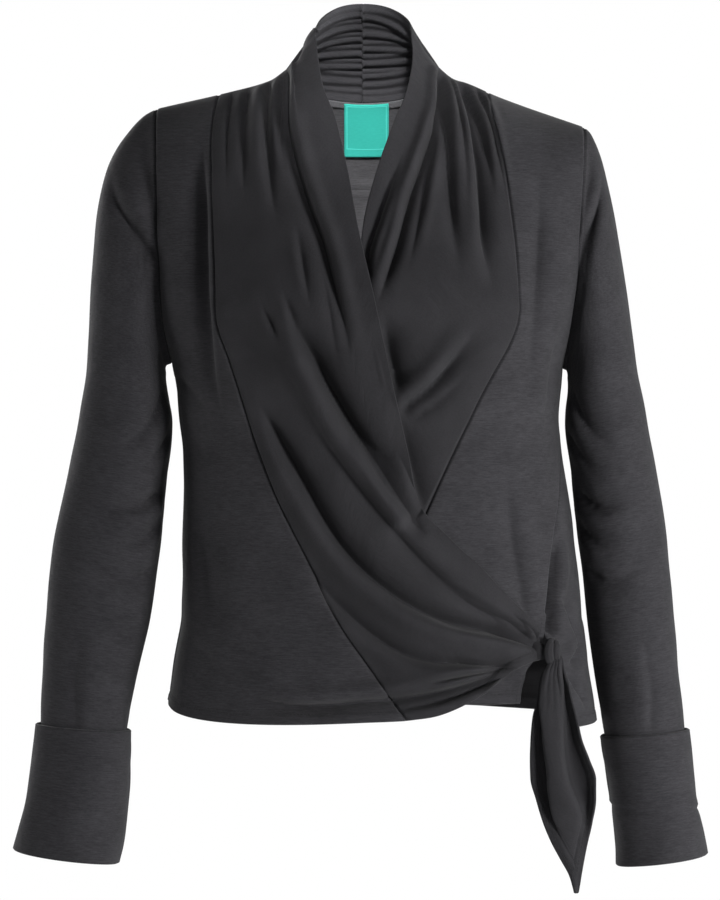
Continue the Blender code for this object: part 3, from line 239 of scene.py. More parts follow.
LEFT_CUFF = table(SLEEVE_COLUMN_NAMES, [
    (281, -563, 205.5, -569, 39),
    (283, -578, 207.6, -584, 39.6),
    (286, -604, 212, -610, 40.4),
    (289.2, -629, 216.5, -637, 41.4),
    (294, -653, 219.5, -664, 42.4),
    (298, -671, 219.5, -681, 43),
])
SLEEVES, CUFFS = {-1: RIGHT_SLEEVE, 1: LEFT_SLEEVE}, {-1: RIGHT_CUFF, 1: LEFT_CUFF}
SLEEVE_ROUND = 46.0         # radius by which the folds' distance round a sleeve is measured
SLEEVE_GAP = 0.1
HEAD_CALM, WRIST_CALM = 2.5, 1.5   # rings over which the folds fade in and out
CUFF_SWELL = 1.4
SLEEVE_LEAN = 0.16                 # how far the wales lean out for each step down

# Collar: top edge at the side and at the centre back
COLLAR_TOP = {-1: (-45.0, 53.0), 1: (38.0, 54.0)}
COLLAR_BACK_X, COLLAR_BACK_TOP, COLLAR_BACK_DEPTH = -5.0, 82.0, 61.0
COLLAR_BULGE, COLLAR_LIFT = 4.5, 0.4
COLLAR_TOP_CURVE = (0.85, 1.2)     # exponents that shape the top edge across and upwards
NECK_LOW = -6.0             # back neckline at the centre back
TAPE_HALF, TAPE_HEIGHT = 38.0, 5.0
TRIM_STEP, TRIM_CLEAR = 1.2, 0.3
LABEL_LEFT, LABEL_RIGHT, LABEL_LENGTH = -21.0, 18.5, 46.0

# Hanging end of the tie
TAIL_DEPTH = -83.0
TAIL = table("height left right", [
    (-492, 158, 164), (-497, 156, 166.5), (-505, 151.5, 168), (-511, 149, 169.5), (-517, 147.5, 171.5),
    (-532, 145.5, 175), (-548, 142, 179), (-566, 140.5, 183), (-583, 140, 189.5), (-600, 140.5, 195),
    (-617, 145, 195), (-637, 151, 192), (-654, 158, 188), (-669, 166, 185), (-683, 173.5, 182.5),
    (-697, 177.5, 180.3),
])
# The end's front fold, as shares of its width down its length
TAIL_FOLD = table("down left right", [
    (0.00, 0.05, 0.90), (0.18, 0.06, 0.74), (0.32, 0.21, 0.65), (0.50, 0.25, 0.55), (0.62, 0.20, 0.66),
    (0.72, 0.08, 0.84), (1.00, 0.06, 0.92),
])


def drape_line(side, word):
    """One of a draped front's three lines, as points in the front view."""
    return np.stack([DRAPES[side][word + "_x"], DRAPES[side][word + "_z"]], axis=1)


print(len(RIGHT_SLEEVE["outer_x"]), "rings down the right sleeve")

# %% [markdown]
# ## Smooth lines through short tables
#
# Each table has only a few rows, so two kinds of curve run through them. One never overshoots, which
# suits widths and depths. The other is a Catmull-Rom curve, which suits paths and grids.

# %% Curves


def curve(at, places, values):
    """Smooth line through a table's points, without overshoot."""
    at = np.asarray(at, dtype=float)
    places, values = np.asarray(places, dtype=float), np.asarray(values, dtype=float)
    if places[0] > places[-1]:
        places, values = places[::-1], values[::-1]
    steps = np.diff(places)
    slopes = np.diff(values) / steps
    same = slopes[:-1] * slopes[1:] > 0
    total = np.where(same, slopes[:-1] + slopes[1:], 1.0)
    inner = np.where(same, 2 * slopes[:-1] * slopes[1:] / total, 0.0)
    tangents = np.concatenate([[slopes[0]], inner, [slopes[-1]]])
    at = np.clip(at, places[0], places[-1])
    k = np.clip(np.searchsorted(places, at, side="right") - 1, 0, len(steps) - 1)
    t = (at - places[k]) / steps[k]
    return (values[k] * (1 + 2 * t) * (1 - t) ** 2 + tangents[k] * steps[k] * t * (1 - t) ** 2
            + values[k + 1] * t * t * (3 - 2 * t) - tangents[k + 1] * steps[k] * t * t * (1 - t))


def spline(at, points):
    """Catmull-Rom curve through points or rows of points, read at fractional row numbers."""
    points = np.asarray(points, dtype=float)
    padded = np.concatenate([2 * points[:1] - points[1:2], points, 2 * points[-1:] - points[-2:-1]])
    at = np.clip(np.asarray(at, dtype=float), 0, len(points) - 1)
    k = np.minimum(at.astype(int), len(points) - 2)
    t = (at - k).reshape(at.shape + (1,) * (points.ndim - 1))
    a, b, c, d = (padded[k + step] for step in range(4))
    square, cube = 2 * a - 5 * b + 4 * c - d, 3 * b - a - 3 * c + d
    return 0.5 * (2 * b + (c - a) * t + square * t ** 2 + cube * t ** 3)


def smoothstep(value):
    value = np.clip(value, 0.0, 1.0)
    return value * value * (3 - 2 * value)


halfway = float(curve(1.5, [0, 1, 2, 3], [0, 1, 4, 9]))
print("a curve through 0, 1, 4 and 9 passes", round(halfway, 2), "at 1.5")

# %% [markdown]
# ## The body under the cloth
#
# The torso is a stack of ovals. Above the underarm each oval is widened, so that it passes through the
# armhole's edge, and near the shoulder line it rolls over to the shoulder seam. A point on the cloth is
# found from an angle round the body and a height.

# %% Body form


def armhole_span(side):
    """Height of an armhole's middle, and half of its length."""
    top, low = TIP[side][1], UNDERARM[side][1]
    return (top + low) / 2, (top - low) / 2


def arm_edge(height, side):
    """Distance of the armhole's edge from the centre line."""
    return curve(height, ARM_EDGES[side]["height"], ARM_EDGES[side]["half_width"])


def half_width(height, side, depth):
    """Half width of the torso's oval, widened above the underarm so that it passes the armhole edge."""
    middle, half = armhole_span(side)
    arm_depth = ARM_HALF_DEPTH * np.sqrt(1 - np.clip((middle - height) / half, 0.0, 1.0) ** 2)
    below = curve(height, SIDES[side]["height"], SIDES[side]["half_width"])
    share = np.minimum(arm_depth / depth, WIDEST_SHARE)
    above = arm_edge(height, side) / (1 - share ** ROUNDNESS) ** (1 / ROUNDNESS)
    return np.where(height < UNDERARM[side][1], below, above)


def half_at(x, height, depth):
    """Half width of the oval on the side where x lies."""
    return np.where(x < 0, half_width(height, -1, depth), half_width(height, 1, depth))


def shoulder_height(x):
    right = curve(-x, RIGHT_SHOULDER["half_width"], RIGHT_SHOULDER["height"])
    left = curve(x, LEFT_SHOULDER["half_width"], LEFT_SHOULDER["height"])
    return np.where(x < 0, right, left)


def body(angle, height):
    """Point of the general figure's form. Angle 0 is the centre front, 90 degrees the left side."""
    sine, cosine = np.sin(angle), np.cos(angle)
    front = cosine >= 0
    depth = np.where(front, *(curve(height, BODY["height"], BODY[word]) for word in ("front", "back")))
    half = half_at(sine, height, depth)
    x = np.sign(sine) * half * np.abs(sine) ** (2 / ROUNDNESS)
    y = np.where(front, -depth, depth) * np.abs(cosine) ** (2 / ROUNDNESS)
    roll = np.where(front, FRONT_ROLL, BACK_ROLL)
    drop = np.clip((shoulder_height(x) - height) / roll, 0.0, 1.0)
    y = SEAM_DEPTH + (y - SEAM_DEPTH) * np.sqrt(1 - (1 - drop) ** 2)
    return np.stack([x, y, height + 0 * x], axis=-1)


def angle_at(x, height, front=True):
    """The angle round the body at which its form passes x."""
    x, height = np.asarray(x, dtype=float), np.asarray(height, dtype=float)
    depth = curve(height, BODY["height"], BODY["front" if front else "back"])
    half = half_at(x, height, depth)
    angle = np.arcsin(np.clip(np.abs(x) / half, 0, 1) ** (ROUNDNESS / 2)) * np.sign(x)
    return angle if front else math.pi - angle


def unit(vectors):
    return vectors / np.maximum(np.linalg.norm(vectors, axis=-1, keepdims=True), 1e-9)


def body_normals(angle, height):
    """Outward normals of the body, from small steps round it and down."""
    turn, step = 1e-4, 0.02
    across = body(angle + turn, height) - body(angle - turn, height)
    up = body(angle, height) - body(angle, height - step)
    return unit(np.cross(across, up))


print("half the chest is", round(float(body(math.pi / 2, -200.0)[0])), "mm wide on the left")

# %% [markdown]
# ## Folds
#
# Folds could come from a cloth simulation, but this jacket's folds are known one by one: pleats from
# the shoulder, long folds drawn to the knot, a fan of small ones beside it. So each is a listed path
# with a depth, a width and a soft ridge beside it. Its wall towards the ridge is the steep one, as
# where cloth hangs over itself, and a narrow crease runs along its bottom.

# %% Fold tables
STEEP_SIDE, GENTLE_SIDE = 0.62, 1.5
RIDGE_PLACE, RIDGE_WIDTH = 1.55, 1.15
CREASE_SHARE, CREASE_WIDTH = 0.34, 0.42


def fold_table(rows):
    """Folds as dictionaries. A row holds depth, width, ridge, fade in, fade out and the path's points."""
    names = ("depth", "width", "ridge", "fade_in", "fade_out")
    return [dict(zip(names, row), path=row[len(names):]) for row in rows]


RIGHT_FOLDS = fold_table([
    # lapel strip and its neighbours
    (11.5, 5.2, 0.45, 0.0, 0.4, (-69, 10), (-69, -35), (-62, -70), (-51, -106), (-38, -141), (-29, -176),
     (-20, -211), (-13, -245)),
    (4.6, 3.6, -0.4, 0.5, 0.5, (-60, -123), (-56, -160), (-49, -196)),
    (1.8, 3.5, 0.4, 0.5, 0.5, (-44, -150), (-34, -190), (-24, -250)),
    # pleats from the shoulder seam
    (6.0, 3.2, -0.4, 0.0, 0.6, (-76, 8), (-77, -30), (-72, -85)),
    (9.5, 5.2, -0.35, 0.0, 0.6, (-87, 4), (-88, -40), (-84, -90), (-76, -130)),
    (5.6, 5.5, -0.3, 0.0, 0.6, (-105, 0), (-108, -45), (-106, -110)),
    (3.2, 4.0, -0.3, 0.0, 0.6, (-119, -3), (-122, -50), (-121, -100)),
    (4.0, 3.2, -0.4, 0.5, 0.5, (-93, -190), (-84, -208), (-72, -228)),
    (4.4, 3.2, -0.4, 0.5, 0.5, (-73, -185), (-67, -198), (-58, -214)),
    # long folds to the knot
    (17.0, 8.6, -0.5, 0.3, 0.05, (-72, -196), (-50, -235), (-22, -288), (14, -335), (44, -374)),
    (5.0, 8.0, 0.2, 0.4, 0.1, (-38, -266), (-8, -316), (26, -362), (50, -392)),
    (5.5, 3.8, -0.5, 0.3, 0.3, (-56, -236), (-33, -268), (-10, -305), (12, -345), (34, -372)),
    (13.0, 7.6, -0.45, 0.25, 0.1, (-99, -265), (-66, -330), (-24, -400), (22, -442), (63, -462),
     (112, -474), (146, -487)),
    (5.0, 3.6, -0.4, 0.3, 0.5, (-92, -284), (-66, -336), (-55, -352)),
    (5.0, 7.0, 0.4, 0.4, 0.3, (-70, -242), (-34, -312), (12, -374), (60, -426), (105, -454), (138, -474)),
    (4.4, 3.0, -0.4, 0.4, 0.05, (30, -448), (72, -468), (118, -478), (146, -489)),
    (4.0, 4.2, 0.4, 0.5, 0.1, (48, -420), (86, -448), (122, -466), (145, -482)),
    # the fan beside the knot
    (9.0, 6.5, -0.4, 0.5, 0.1, (-66, -395), (-30, -446), (20, -486), (63, -499), (105, -500), (130, -498)),
    (6.5, 2.5, -0.45, 0.25, 0.2, (64, -498), (84, -500), (104, -502), (122, -502)),
    (6.0, 4.6, 0.35, 0.5, 0.15, (6, -522), (40, -517), (75, -511), (128, -503)),
    (6.2, 2.5, -0.45, 0.3, 0.2, (50, -517), (80, -511), (108, -506), (124, -503)),
    (13.0, 5.4, 0.4, 0.25, 0.15, (-118, -524), (-66, -535), (-16, -532), (36, -527), (68, -521),
     (99, -512), (126, -503)),
    (5.0, 2.8, -0.4, 0.3, 0.2, (20, -540), (60, -532), (96, -520), (122, -508)),
    # pulls between the free edge and the knot
    (2.0, 2.6, 0.5, 0.4, 0.1, (118, -455), (132, -466), (144, -480)),
    # the side front hangs a little hollow beside the panel seam
    (11.0, 10.5, 0.15, 0.25, 0.4, (-144, -35), (-143, -110), (-142, -180), (-137, -240), (-122, -310)),
    (4.0, 11.0, -0.3, 0.5, 0.5, (-148, -350), (-140, -430), (-128, -500)),
    (2.2, 6.0, 0.3, 0.1, 0.6, (-170, -250), (-150, -270), (-128, -300)),
    (2.0, 9.0, 0.3, 0.3, 0.5, (-166, -480), (-120, -500), (-70, -512)),
])
LEFT_FOLDS = fold_table([
    # the band along the neck, which lies over the pleats
    (11.0, 4.2, -0.5, 0.0, 0.2, (63, 12), (62, -13), (57, -36), (47, -67), (36, -98), (27, -132),
     (19, -158), (8, -190)),
    (8.5, 3.8, 0.4, 0.45, 0.25, (30, -60), (19, -92), (8, -125), (0, -152), (2, -185)),
    # pleats from the shoulder seam
    (9.0, 4.4, 0.35, 0.0, 0.5, (66, 12), (68, -30), (71, -80), (74, -125), (82, -175)),
    (6.5, 3.2, 0.4, 0.0, 0.6, (71, 12), (78, -20), (84, -60), (86, -110)),
    (12.5, 5.8, -0.4, 0.0, 0.35, (79, 8), (88, -28), (93, -62), (97, -106), (99, -141), (108, -182)),
    (7.0, 3.5, 0.3, 0.0, 0.5, (84, 4), (97, -28), (104, -62), (110, -100)),
    (4.8, 2.8, 0.4, 0.0, 0.5, (95, 0), (106, -30), (113, -64), (120, -104)),
    (4.8, 4.0, 0.4, 0.3, 0.5, (60, -40), (52, -78), (44, -120), (34, -165)),
    # cross fold under the bust, and the hollow beside the right front's edge
    (10.0, 7.0, 0.55, 0.1, 0.6, (24, -285), (55, -262), (81, -230), (98, -208)),
    (2.8, 4.5, 0.4, 0.2, 0.6, (34, -292), (62, -274), (92, -246)),
    (14.0, 9.0, -0.2, 0.4, 0.3, (10, -200), (17, -232), (28, -275)),
    # side front
    (6.0, 11.0, 0.35, 0.4, 0.5, (146, -60), (148, -130), (144, -210), (136, -300)),
    (4.5, 9.0, 0.3, 0.5, 0.2, (118, -330), (126, -400), (138, -462)),
    (3.0, 4.5, 0.4, 0.5, 0.1, (96, -420), (118, -450), (138, -476)),
    (2.2, 4.0, -0.4, 0.5, 0.3, (60, -404), (98, -438), (130, -466)),
    (2.6, 2.4, 0.4, 0.4, 0.1, (108, -450), (124, -466), (140, -481)),
    (3.0, 2.6, -0.4, 0.4, 0.1, (126, -436), (135, -458), (144, -480)),
    (12.0, 5.5, -0.15, 0.3, 0.0, (141, -496), (143, -516), (144, -545)),
    (7.0, 7.5, -0.1, 0.4, 0.3, (24, -280), (36, -330), (50, -378)),
    (2.4, 6.0, -0.3, 0.3, 0.5, (168, -200), (158, -250), (152, -320)),
])
# The same, round the back: x is the distance round the body from the centre back, left side positive
BACK_FOLDS = fold_table([
    # the part that is drawn forward on the left, beside the knot
    (13.0, 6.0, -0.3, 0.35, 0.1, (230, -385), (244, -414), (259, -449), (265, -480)),
    (8.0, 4.5, 0.4, 0.3, 0.2, (251, -440), (238, -468), (233, -486), (245, -498), (260, -506)),
    (6.0, 4.0, 0.4, 0.3, 0.3, (262, -508), (252, -526), (243, -540)),
    (3.0, 9.0, 0.3, 0.5, 0.5, (218, -470), (170, -458), (110, -450)),
    (3.0, 9.0, -0.3, 0.5, 0.5, (214, -500), (160, -512), (95, -522)),
    (5.5, 15.0, 0.35, 0.5, 0.0, (60, -330), (66, -430), (74, -560)),
    (2.6, 10.0, 0.35, 0.5, 0.0, (20, -360), (12, -460), (14, -560)),
    (5.5, 15.0, -0.35, 0.5, 0.0, (-52, -350), (-60, -450), (-66, -560)),
    (5.0, 13.0, -0.35, 0.5, 0.0, (-128, -300), (-136, -420), (-146, -545)),
    (4.5, 11.0, 0.35, 0.3, 0.6, (150, -120), (120, -190), (112, -260)),
    (4.5, 11.0, -0.35, 0.3, 0.6, (-150, -120), (-120, -190), (-112, -260)),
    (2.4, 9.0, 0.4, 0.5, 0.5, (-60, -300), (0, -316), (66, -300)),
    (2.2, 9.0, -0.4, 0.5, 0.5, (-90, -344), (-10, -356), (80, -346)),
])
# Round a sleeve: x is the distance round from its outer line, front positive, and z the place down it
SLEEVE_FOLDS = fold_table([
    (9.5, 5.0, 0.4, 0.4, 0.05, (22, -76), (50, -110), (82, -152)),
    (3.6, 8.0, -0.4, 0.4, 0.4, (-14, -80), (-52, -120), (-84, -170)),
    (6.0, 7.5, 0.4, 0.2, 0.6, (128, -262), (96, -300), (60, -318)),
    (3.0, 5.0, 0.4, 0.2, 0.6, (134, -300), (104, -330), (80, -338)),
    (6.0, 7.5, -0.4, 0.2, 0.6, (-128, -262), (-90, -296), (-56, -310)),
    (8.0, 5.6, 0.4, 0.2, 0.6, (134, -356), (98, -368), (60, -362)),
    (4.4, 4.5, 0.4, 0.2, 0.6, (134, -384), (104, -398), (74, -396)),
    (5.5, 7.0, -0.35, 0.2, 0.6, (130, -420), (92, -430), (50, -414)),
    (5.0, 7.5, 0.4, 0.2, 0.6, (-128, -400), (-92, -416), (-50, -408)),
    (4.5, 11.0, 0.35, 0.4, 0.5, (-60, -150), (-66, -240), (-58, -330)),
    (2.6, 8.0, 0.3, 0.4, 0.2, (66, -470), (62, -520), (70, -572)),
])
print(len(RIGHT_FOLDS) + len(LEFT_FOLDS) + len(BACK_FOLDS) + len(SLEEVE_FOLDS), "folds are placed by hand")

# %% [markdown]
# A fold's strength comes from the distance to its path. Small uneven swells over all the cloth keep the
# calm parts from looking machined; they are a few sine waves in odd directions, so nothing is random.

# %% Fold relief


def path_distance(x, z, path):
    """Signed distance from a smooth path (left of it positive) and the place along it, 0 to 1."""
    line = spline(np.linspace(0, len(path) - 1, 6 * (len(path) - 1) + 1), path)
    start, run = line[:-1], np.diff(line, axis=0)
    length = np.linalg.norm(run, axis=1)
    total = np.concatenate([[0], np.cumsum(length)])
    away_x = x[..., None] - start[:, 0]
    away_z = z[..., None] - start[:, 1]
    share = np.clip((away_x * run[:, 0] + away_z * run[:, 1]) / length ** 2, 0, 1)
    gap = np.hypot(away_x - share * run[:, 0], away_z - share * run[:, 1])
    nearest = np.argmin(gap, axis=-1)[..., None]
    pick = lambda values: np.take_along_axis(values, nearest, axis=-1)[..., 0]
    turn = pick(run[:, 0] * away_z - run[:, 1] * away_x)
    place = pick(total[:-1] + share * length) / total[-1]
    return pick(gap) * np.where(turn < 0, -1.0, 1.0), place


def fold_relief(x, z, folds):
    """Height of the cloth above its smooth form: soft troughs, each with a ridge beside it."""
    relief = np.zeros(np.broadcast(x, z).shape)
    for fold in folds:
        away, place = path_distance(x, z, fold["path"])
        strength = np.ones_like(place)
        for left, fade in ((place, fold["fade_in"]), (1 - place, fold["fade_out"])):
            if fade > 0:
                strength = strength * smoothstep(left / fade)
        across = away * math.copysign(1.0, fold["ridge"])
        width = fold["width"] * np.where(across > 0, STEEP_SIDE, GENTLE_SIDE)
        trough = ((1 - CREASE_SHARE) * np.exp(-(across / width) ** 2)
                  + CREASE_SHARE * np.exp(-(across / (CREASE_WIDTH * width)) ** 2))
        beside = across - RIDGE_PLACE * fold["width"]
        ridge = abs(fold["ridge"]) * np.exp(-(beside / (RIDGE_WIDTH * fold["width"])) ** 2)
        relief = relief + fold["depth"] * strength * (ridge - trough)
    return relief


SWELLS = table("along_x along_z shift height", [
    (0.071, 0.031, 0.3, 0.28), (-0.043, 0.067, 1.9, 0.26), (0.113, -0.052, 4.1, 0.15),
    (0.029, 0.118, 2.7, 0.15), (0.167, 0.093, 0.8, 0.07), (-0.121, 0.149, 5.2, 0.07),
])


def swells(x, z):
    return sum(h * np.sin(a * x + b * z + s) for a, b, s, h in zip(*SWELLS.values()))


RIGHT_EDGE_PATH = drape_line(-1, "edge")
RIGHT_SEAM_PATH = drape_line(-1, "seam")[:CORNERS[-1] + 1]


def sewn_flat(x, z):
    """0 on the shoulder line, where the pleats are stitched down, and 1 a little below it."""
    return smoothstep((shoulder_height(x) - z) / SEAM_CALM)


def left_relief(x, z):
    """The left front, which goes under the right one and lies further in there."""
    under = -path_distance(x, z, RIGHT_EDGE_PATH)[0]
    hidden = smoothstep((under - UNDERLAP_START) / UNDERLAP_RUN)
    loose = sewn_flat(x, z) * (fold_relief(x, z, LEFT_FOLDS) + swells(x, z))
    return loose * (1 - hidden) - UNDERLAP * hidden


def right_relief(x, z):
    """The right front, which rises from its panel seam to lie over the left one."""
    from_seam = path_distance(x, z, RIGHT_SEAM_PATH)[0]
    rise = OVERLAP_RISE * smoothstep(from_seam / RISE_RUN)
    raw = sewn_flat(x, z) * (rise + fold_relief(x, z, RIGHT_FOLDS) + swells(x, z))
    least = left_relief(x, z) + LAYER_STEP
    covers = smoothstep(from_seam / COVER_RUN)
    return np.where(raw < least, raw + (least - raw) * covers, raw)


FRONT_RELIEF = {-1: right_relief, 1: left_relief}


def front_form(side, angle, height):
    """Points of one side's front layer, and the directions in which the body faces there."""
    point, outward = body(angle, height), body_normals(angle, height)
    relief = FRONT_RELIEF[side](point[..., 0], height + 0 * angle)
    return point + outward * relief[..., None], outward


def back_form(angle, height):
    point, outward = body(angle, height), body_normals(angle, height)
    x, y = point[..., 0], point[..., 1]
    depth = curve(height, BODY["height"], BODY["back"])
    half = half_at(x, height, depth)
    round_body = np.where(y > 0, x, np.sign(x) * (half + np.hypot(half - np.abs(x), y)))
    z = height + 0 * angle
    calm = smoothstep((YOKE_SEAM - height) / YOKE_CALM)
    relief = fold_relief(round_body, z, BACK_FOLDS) * calm + swells(round_body, z) * sewn_flat(x, z)
    return point + outward * relief[..., None], outward


deep = right_relief(np.array([-20.0, -21.0]), np.array([-289.0, -289.0]))
print("the deepest long fold lies", round(float(-deep.min()), 1), "mm below the smooth form")

# %% [markdown]
# ## From a grid to a shell of cloth
#
# A plane with Solidify would do, but cloth shows its making at the edges: it dips at a sewn seam, is
# twice as thick along a hem and rounds over at a cut edge. So one function builds the whole shell from
# a grid of middle points, and it writes a UV map in metres along the cloth, which the knit will follow.

# %% Cloth shell
pieces = {}


def place_object(name, data):
    """A new object with this data, in the scene."""
    item = bpy.data.objects.new(name, data)
    bpy.context.collection.objects.link(item)
    return item


def cloth_mesh(name, points, faces, uv, materials):
    """A mesh from points in millimetres, its faces and a UV place for every corner of a face."""
    mesh = bpy.data.meshes.new(name)
    mesh.from_pydata((points * MM).tolist(), [], faces)
    layer = mesh.uv_layers.new(name="cloth")
    layer.data.foreach_set("uv", uv.astype(np.float32).reshape(-1))
    for material in materials:
        mesh.materials.append(material)
    return mesh


def turn_outward(mesh):
    shape = bmesh.new()
    shape.from_mesh(mesh)
    bmesh.ops.recalc_face_normals(shape, faces=shape.faces)
    shape.to_mesh(mesh)
    shape.free()
    mesh.shade_smooth()


def grid_normals(middle, outward, closed=False):
    """Normals of a grid from its neighbours, turned to face along `outward`."""
    if closed:
        across = np.roll(middle, -1, axis=1) - np.roll(middle, 1, axis=1)
    else:
        across = np.gradient(middle, axis=1)
    along = np.gradient(middle, axis=0)
    normals = unit(np.cross(across, along))
    wrong = np.sum(normals * outward, axis=-1) < 0
    normals[wrong] *= -1
    return normals


def distance_to(points, lines):
    """Distance of every point of a grid from the nearest of some lines of points."""
    nearest = np.full(points.shape[:2], 1e6)
    for line in lines:
        for start, end in zip(line[:-1], line[1:]):
            run = end - start
            away = points - start
            share = np.clip(away @ run / max(run @ run, 1e-9), 0, 1)
            gap = np.linalg.norm(away - share[..., None] * run, axis=-1)
            nearest = np.minimum(nearest, gap)
    return nearest


def border(rows, columns, closed):
    """The grid's open edges, as loops of (row, column)."""
    if closed:
        around = range(columns)
        return [[(0, c) for c in around], [(rows - 1, c) for c in around]]
    top = [(0, c) for c in range(columns)]
    right = [(r, columns - 1) for r in range(1, rows)]
    bottom = [(rows - 1, c) for c in range(columns - 2, -1, -1)]
    left = [(r, 0) for r in range(rows - 2, 0, -1)]
    return [top + right + bottom + left]


def cloth(name, middle, outward, thickness, materials, closed=False, seams=(), hems=(), normals=None,
          grain=None):
    """A shell of cloth about a grid of middle points in millimetres, as a finished object.

    `grain` is the direction in which the wales run, where the grid's own columns don't follow it.
    """
    rows, columns = middle.shape[:2]
    if normals is None:
        normals = grid_normals(middle, outward, closed)
    middle = middle.copy()
    if len(seams):
        middle -= normals * (SEAM_DIP * np.exp(-(distance_to(middle, seams) / SEAM_WIDTH) ** 2))[..., None]
    thick = np.full((rows, columns), thickness)
    if len(hems):
        inset = distance_to(middle, hems)
        thick += HEM_EXTRA * smoothstep((HEM_DEPTH - inset) / HEM_FADE)
        middle -= normals * (HEM_DIP * np.exp(-((inset - HEM_LINE) / HEM_LINE_WIDTH) ** 2))[..., None]
    half = normals * thick[..., None] / 2
    points = [(middle + half).reshape(-1, 3), (middle - half).reshape(-1, 3)]
    shift = rows * columns
    wide = columns + 1 if closed else columns
    round_it = np.concatenate([middle, middle[:, :1]], axis=1) if closed else middle
    step = np.linalg.norm(np.diff(round_it, axis=1), axis=-1)
    u = np.concatenate([np.zeros((rows, 1)), np.cumsum(step, axis=1)], axis=1) * MM
    down = np.linalg.norm(np.diff(middle, axis=0), axis=-1)
    v = np.concatenate([np.zeros((1, columns)), np.cumsum(down, axis=0)], axis=0) * MM
    if grain is not None:
        v = middle @ unit(np.array(grain, dtype=float)) * MM
    if closed:
        v = np.concatenate([v, v[:, :1]], axis=1)
    uv = np.stack([u, v], axis=-1).reshape(-1, 2)

    r, c = np.mgrid[0:rows - 1, 0:wide - 1]
    corner_r = np.stack([r, r, r + 1, r + 1], axis=-1).reshape(-1, 4)
    corner_c = np.stack([c, c + 1, c + 1, c], axis=-1).reshape(-1, 4)
    index = corner_r * columns + corner_c % columns
    place = corner_r * wide + corner_c
    faces = [index, shift + index[:, ::-1]]
    places = [place, place[:, ::-1]]
    count = 2 * shift
    for loop in border(rows, columns, closed):
        at = np.array(loop)
        inner = at.copy()
        inner[:, 0] = np.clip(at[:, 0], 1, rows - 2)
        if not closed:
            inner[:, 1] = np.clip(at[:, 1], 1, columns - 2)
        edge = middle[at[:, 0], at[:, 1]]
        away = unit(edge - middle[inner[:, 0], inner[:, 1]])
        points.append(edge + away * thick[at[:, 0], at[:, 1]][:, None] * RIM_SHARE)
        first = at[:, 0] * columns + at[:, 1]
        rim = count + np.arange(len(at))
        beside, rim_beside = np.roll(first, -1), np.roll(rim, -1)
        faces += [np.stack([first, beside, rim_beside, rim], axis=-1),
                  np.stack([rim, rim_beside, shift + beside, shift + first], axis=-1)]
        here = at[:, 0] * wide + at[:, 1]
        after = np.roll(here, -1)
        if closed:
            after[-1] = here[-1] + 1
        places += [np.stack([here, after, after, here], axis=-1)] * 2
        count += len(at)
    points, faces, places = np.vstack(points), np.vstack(faces), np.vstack(places)

    mesh = cloth_mesh(name, points, faces.tolist(), uv[places.reshape(-1)], materials)
    if len(materials) > 1:
        which = np.zeros(len(faces), dtype=np.int32)
        which[len(index):2 * len(index)] = 1
        mesh.polygons.foreach_set("material_index", which)
    turn_outward(mesh)
    item = place_object(name + "_cloth", mesh)
    across, back_across = middle[1:, 1:] - middle[:-1, :-1], middle[1:, :-1] - middle[:-1, 1:]
    area = np.linalg.norm(np.cross(across, back_across), axis=-1).sum() / 2
    pieces[name] = dict(item=item, middle=middle, normals=normals, thick=thick)
    print(f"{name}: {2 * len(mesh.polygons)} triangles, about {u[:, -1].mean():.3f} x {v[-1].mean():.3f} m, "
          f"{area * MM * MM:.4f} square metres")
    return item


# %% [markdown]
# ## Cloth finishes
#
# The fronts and the tie are a smooth jersey, knitted in fine ribs that show as faint lines along the
# cloth. The side fronts, back and sleeves are a brushed heather jersey: light and dark fibres lie in
# short streaks across the piece, and its nap catches the light at a low angle. Both are made by shader
# maths on each piece's own UV map in metres, so the knit keeps its real size everywhere. Photographed
# swatches would look as real, but they repeat and carry one lighting. In the sums below, each number
# beside a noise is its share of the look. Taking 0.5 off first lets a noise lighten and darken alike.

# %% Shader writing in plain maths
def add_node(tree, kind, settings=None, inputs=None):
    """One new node from its type, its settings and its inputs: plain values, sockets or Values."""
    node = tree.nodes.new(kind)
    for name, value in (settings or {}).items():
        setattr(node, name, value)
    for place, value in (inputs or {}).items():
        value = value.socket if isinstance(value, Value) else value
        if isinstance(value, bpy.types.NodeSocket):
            tree.links.new(value, node.inputs[place])
        elif value is not None:
            node.inputs[place].default_value = value
    return node


class Value:
    """A socket that can be added, multiplied and so on, each step a Math node."""

    def __init__(self, tree, socket):
        self.tree, self.socket = tree, socket

    def maths(self, operation, other=0.0, flipped=False):
        first, second = (other, self) if flipped else (self, other)
        node = add_node(self.tree, "ShaderNodeMath", dict(operation=operation), {0: first, 1: second})
        return Value(self.tree, node.outputs[0])

    def __add__(self, other): return self.maths("ADD", other)
    def __radd__(self, other): return self.maths("ADD", other)
    def __sub__(self, other): return self.maths("SUBTRACT", other)
    def __rsub__(self, other): return self.maths("SUBTRACT", other, flipped=True)
    def __mul__(self, other): return self.maths("MULTIPLY", other)
    def __rmul__(self, other): return self.maths("MULTIPLY", other)
    def __truediv__(self, other): return self.maths("DIVIDE", other)
    def wave(self): return self.maths("SINE")
    def size(self): return self.maths("ABSOLUTE")
    def least(self, other): return self.maths("MINIMUM", other)

    def step(self, low, high):
        """0 below `low`, 1 above `high` and smooth between them."""
        share = ((self - low) / (high - low)).maths("MAXIMUM").least(1.0)
        return share * share * (3.0 - 2.0 * share)


